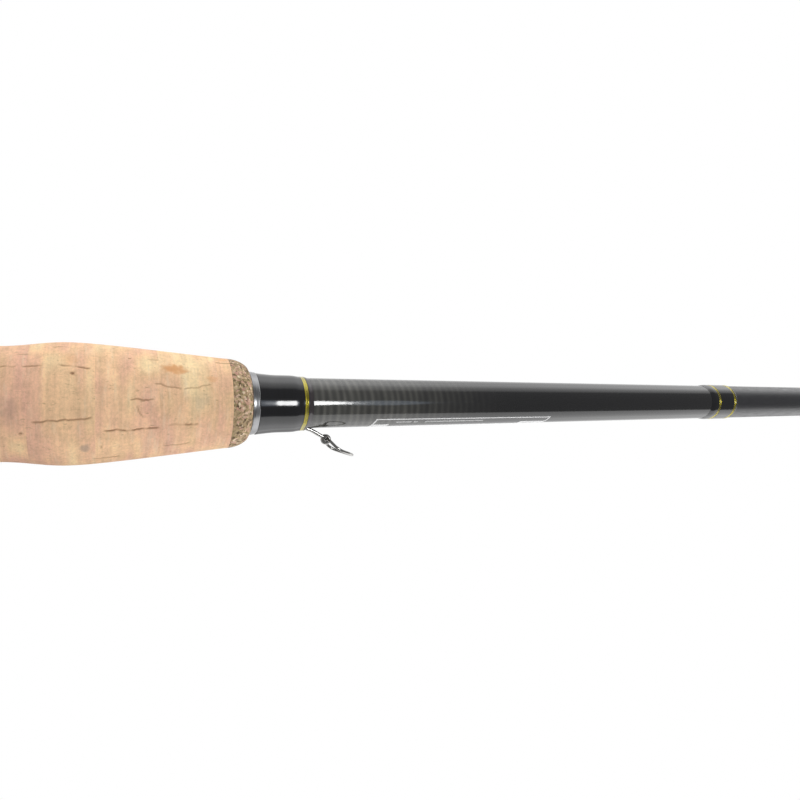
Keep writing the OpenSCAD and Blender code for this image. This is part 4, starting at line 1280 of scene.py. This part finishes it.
def floor_material():
    """White paper: plain white to the camera, and a soft light from below to the rod."""
    mat, tree, shader = new_material("white_paper")
    at = put(tree, "ShaderNodeSeparateXYZ", {"Vector": place(tree, (1, 1, 1))}).outputs
    away = calculate(tree, "ABSOLUTE", at["Y"])
    ahead = share(tree, at["X"], check_x - 0.05, check_x + 0.03)
    lit = calculate(tree, "MULTIPLY", ahead, share(tree, away, 0.014, 0.06))
    behind = share(tree, at["X"], check_x, check_x - 0.02)
    dim = calculate(tree, "MULTIPLY", behind, share(tree, at["Y"], 0.004, -0.008))
    glow = greys(tree, lit, FLOOR_NEAR / FLOOR_FAR, 1.0, 0.0, 1.0)
    glow = mix(tree, dim, glow, (FLOOR_DIM / FLOOR_FAR,) * 3)
    set_constants(shader, {"Base Color": (0.3, 0.3, 0.3, 1), "Emission Strength": FLOOR_FAR})
    set_constants(shader, {"Roughness": 1.0, "Specular IOR Level": 0.0})
    tree.links.new(glow, shader.inputs["Emission Color"])
    paper = put(tree, "ShaderNodeEmission", {"Strength": 1.0}).outputs[0]
    surface = tree.nodes["Material Output"].inputs["Surface"]
    tree.links.new(camera_sees(tree, paper, shader.outputs[0]), surface)
    return mat


def build_stage():
    """The floor of white paper under the rod."""
    bpy.context.scene.view_settings.view_transform = "Standard"
    low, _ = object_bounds()
    floor_z = low[2] - 0.1 * MM
    corners = [(-1, -1), (1, -1), (1, 1), (-1, 1)]
    mesh = bpy.data.meshes.new("floor")
    vertices = [(x * FLOOR_HALF, y * FLOOR_HALF, floor_z) for x, y in corners]
    mesh.from_pydata(vertices, [], [(0, 1, 2, 3)])
    mesh.materials.append(floor_material())
    floor = add("floor", mesh)


def build_world():
    """A light tent: bright sides ahead of the camera, weaker ones behind it, and a dark strip
    overhead along the rod. The camera itself sees plain white."""
    world = bpy.data.worlds.new("tent")
    bpy.context.scene.world = world
    world.use_nodes = True
    tree = world.node_tree
    tree.nodes.clear()
    direction = put(tree, "ShaderNodeTexCoord").outputs["Generated"]
    x, y, z = put(tree, "ShaderNodeSeparateXYZ", {"Vector": direction}).outputs
    around = share(tree, calculate(tree, "ARCTAN2", y, z), -math.pi, math.pi)

    def sides(*stops):
        """Brightness by the angle from overhead, in degrees."""
        places = [(0.5 + degrees / 360, (value / TENT_STRENGTH,) * 3) for degrees, value in stops]
        return ramp(tree, around, places)

    ahead = sides(
        (-110, 2.4), (-57, 2.1), (-54, 0.30), (58, 0.36), (68, 1.2), (90, 2.0), (105, 2.5)
    )
    behind = sides(
        (-110, 0.08), (-57, 0.3), (-54, 0.30), (58, 0.34), (68, 1.2), (90, 1.9), (105, 2.0)
    )
    sky = mix(tree, share(tree, x, 0.1, 0.2), behind, ahead)
    light = {"Color": sky, "Strength": TENT_STRENGTH}
    tent = put(tree, "ShaderNodeBackground", light).outputs[0]
    white = put(tree, "ShaderNodeBackground", {"Color": (1, 1, 1, 1)}).outputs[0]
    put(tree, "ShaderNodeOutputWorld", {"Surface": camera_sees(tree, white, tent)})


def area_light(name, tilt, size, radiance, tint=(1, 1, 1)):
    """An oval lamp 1 m from the wrap, tilted from overhead towards the tip. size is its
    length along the rod and its width across it, and radiance its brightness."""
    light = bpy.data.lights.new(name, "AREA")
    light.shape = "ELLIPSE"
    light.size, light.size_y = size
    light.energy = radiance * math.pi * size[0] * size[1] * math.pi / 4
    light.color = tint
    t = math.radians(tilt)
    back = Vector((math.sin(t), 0, math.cos(t)))
    along = Vector((math.cos(t), 0, -math.sin(t)))
    turn = Matrix((along, back.cross(along), back)).transposed().to_4x4()
    at = Matrix.Translation(Vector((check_x + LAMP_X, 0, 0)) + back)
    add(name, light).matrix_world = at @ turn


def build_lights():
    """A small bright lamp ahead of the camera, with a fainter blue one beside it."""
    area_light("key", 16.6, (0.15, 0.32), 26)
    area_light("window", 24.0, (0.16, 0.36), 1.6, (0.66, 0.8, 1.0))


def build_camera():
    """The photograph's camera: straight above the rod's axis, leaning towards the tip."""
    back = Vector((-LEAN_SIN, 0.0, LEAN_COS)).normalized()
    right = Vector((LEAN_COS, 0.0, LEAN_SIN)).normalized()
    turn = Matrix((right, back.cross(right), back)).transposed().to_4x4()
    roll = Matrix.Rotation(math.radians(ROLL), 4, "Z")
    camera = bpy.data.cameras.new("camera")
    camera.lens = LENS_MM
    camera.sensor_width = 36
    camera.clip_start = 0.005
    camera.clip_end = 200
    shot = add("camera", camera)
    at = Matrix.Translation(Vector((check_x, 0, 0)) + Vector(CAMERA_AT))
    shot.matrix_world = at @ turn @ roll
    bpy.context.scene.camera = shot


build_camera()
build_foregrip()
build_rear_grip()
build_check()
build_butt_wrap()
build_trim_wrap()
build_butt_blank()
build_label()
build_keeper()
build_butt_end()
build_reel_seat()
build_tip_blank()
for number in range(1, GUIDE_COUNT + 1):
    build_guide(number)
build_guide_golds()
build_tip_top()
dress(ARBOR, "seat_arbors")
dress(LINER, "fixed_hood_liner", "sliding_hood_liner")
build_stage()
build_world()
build_lights()
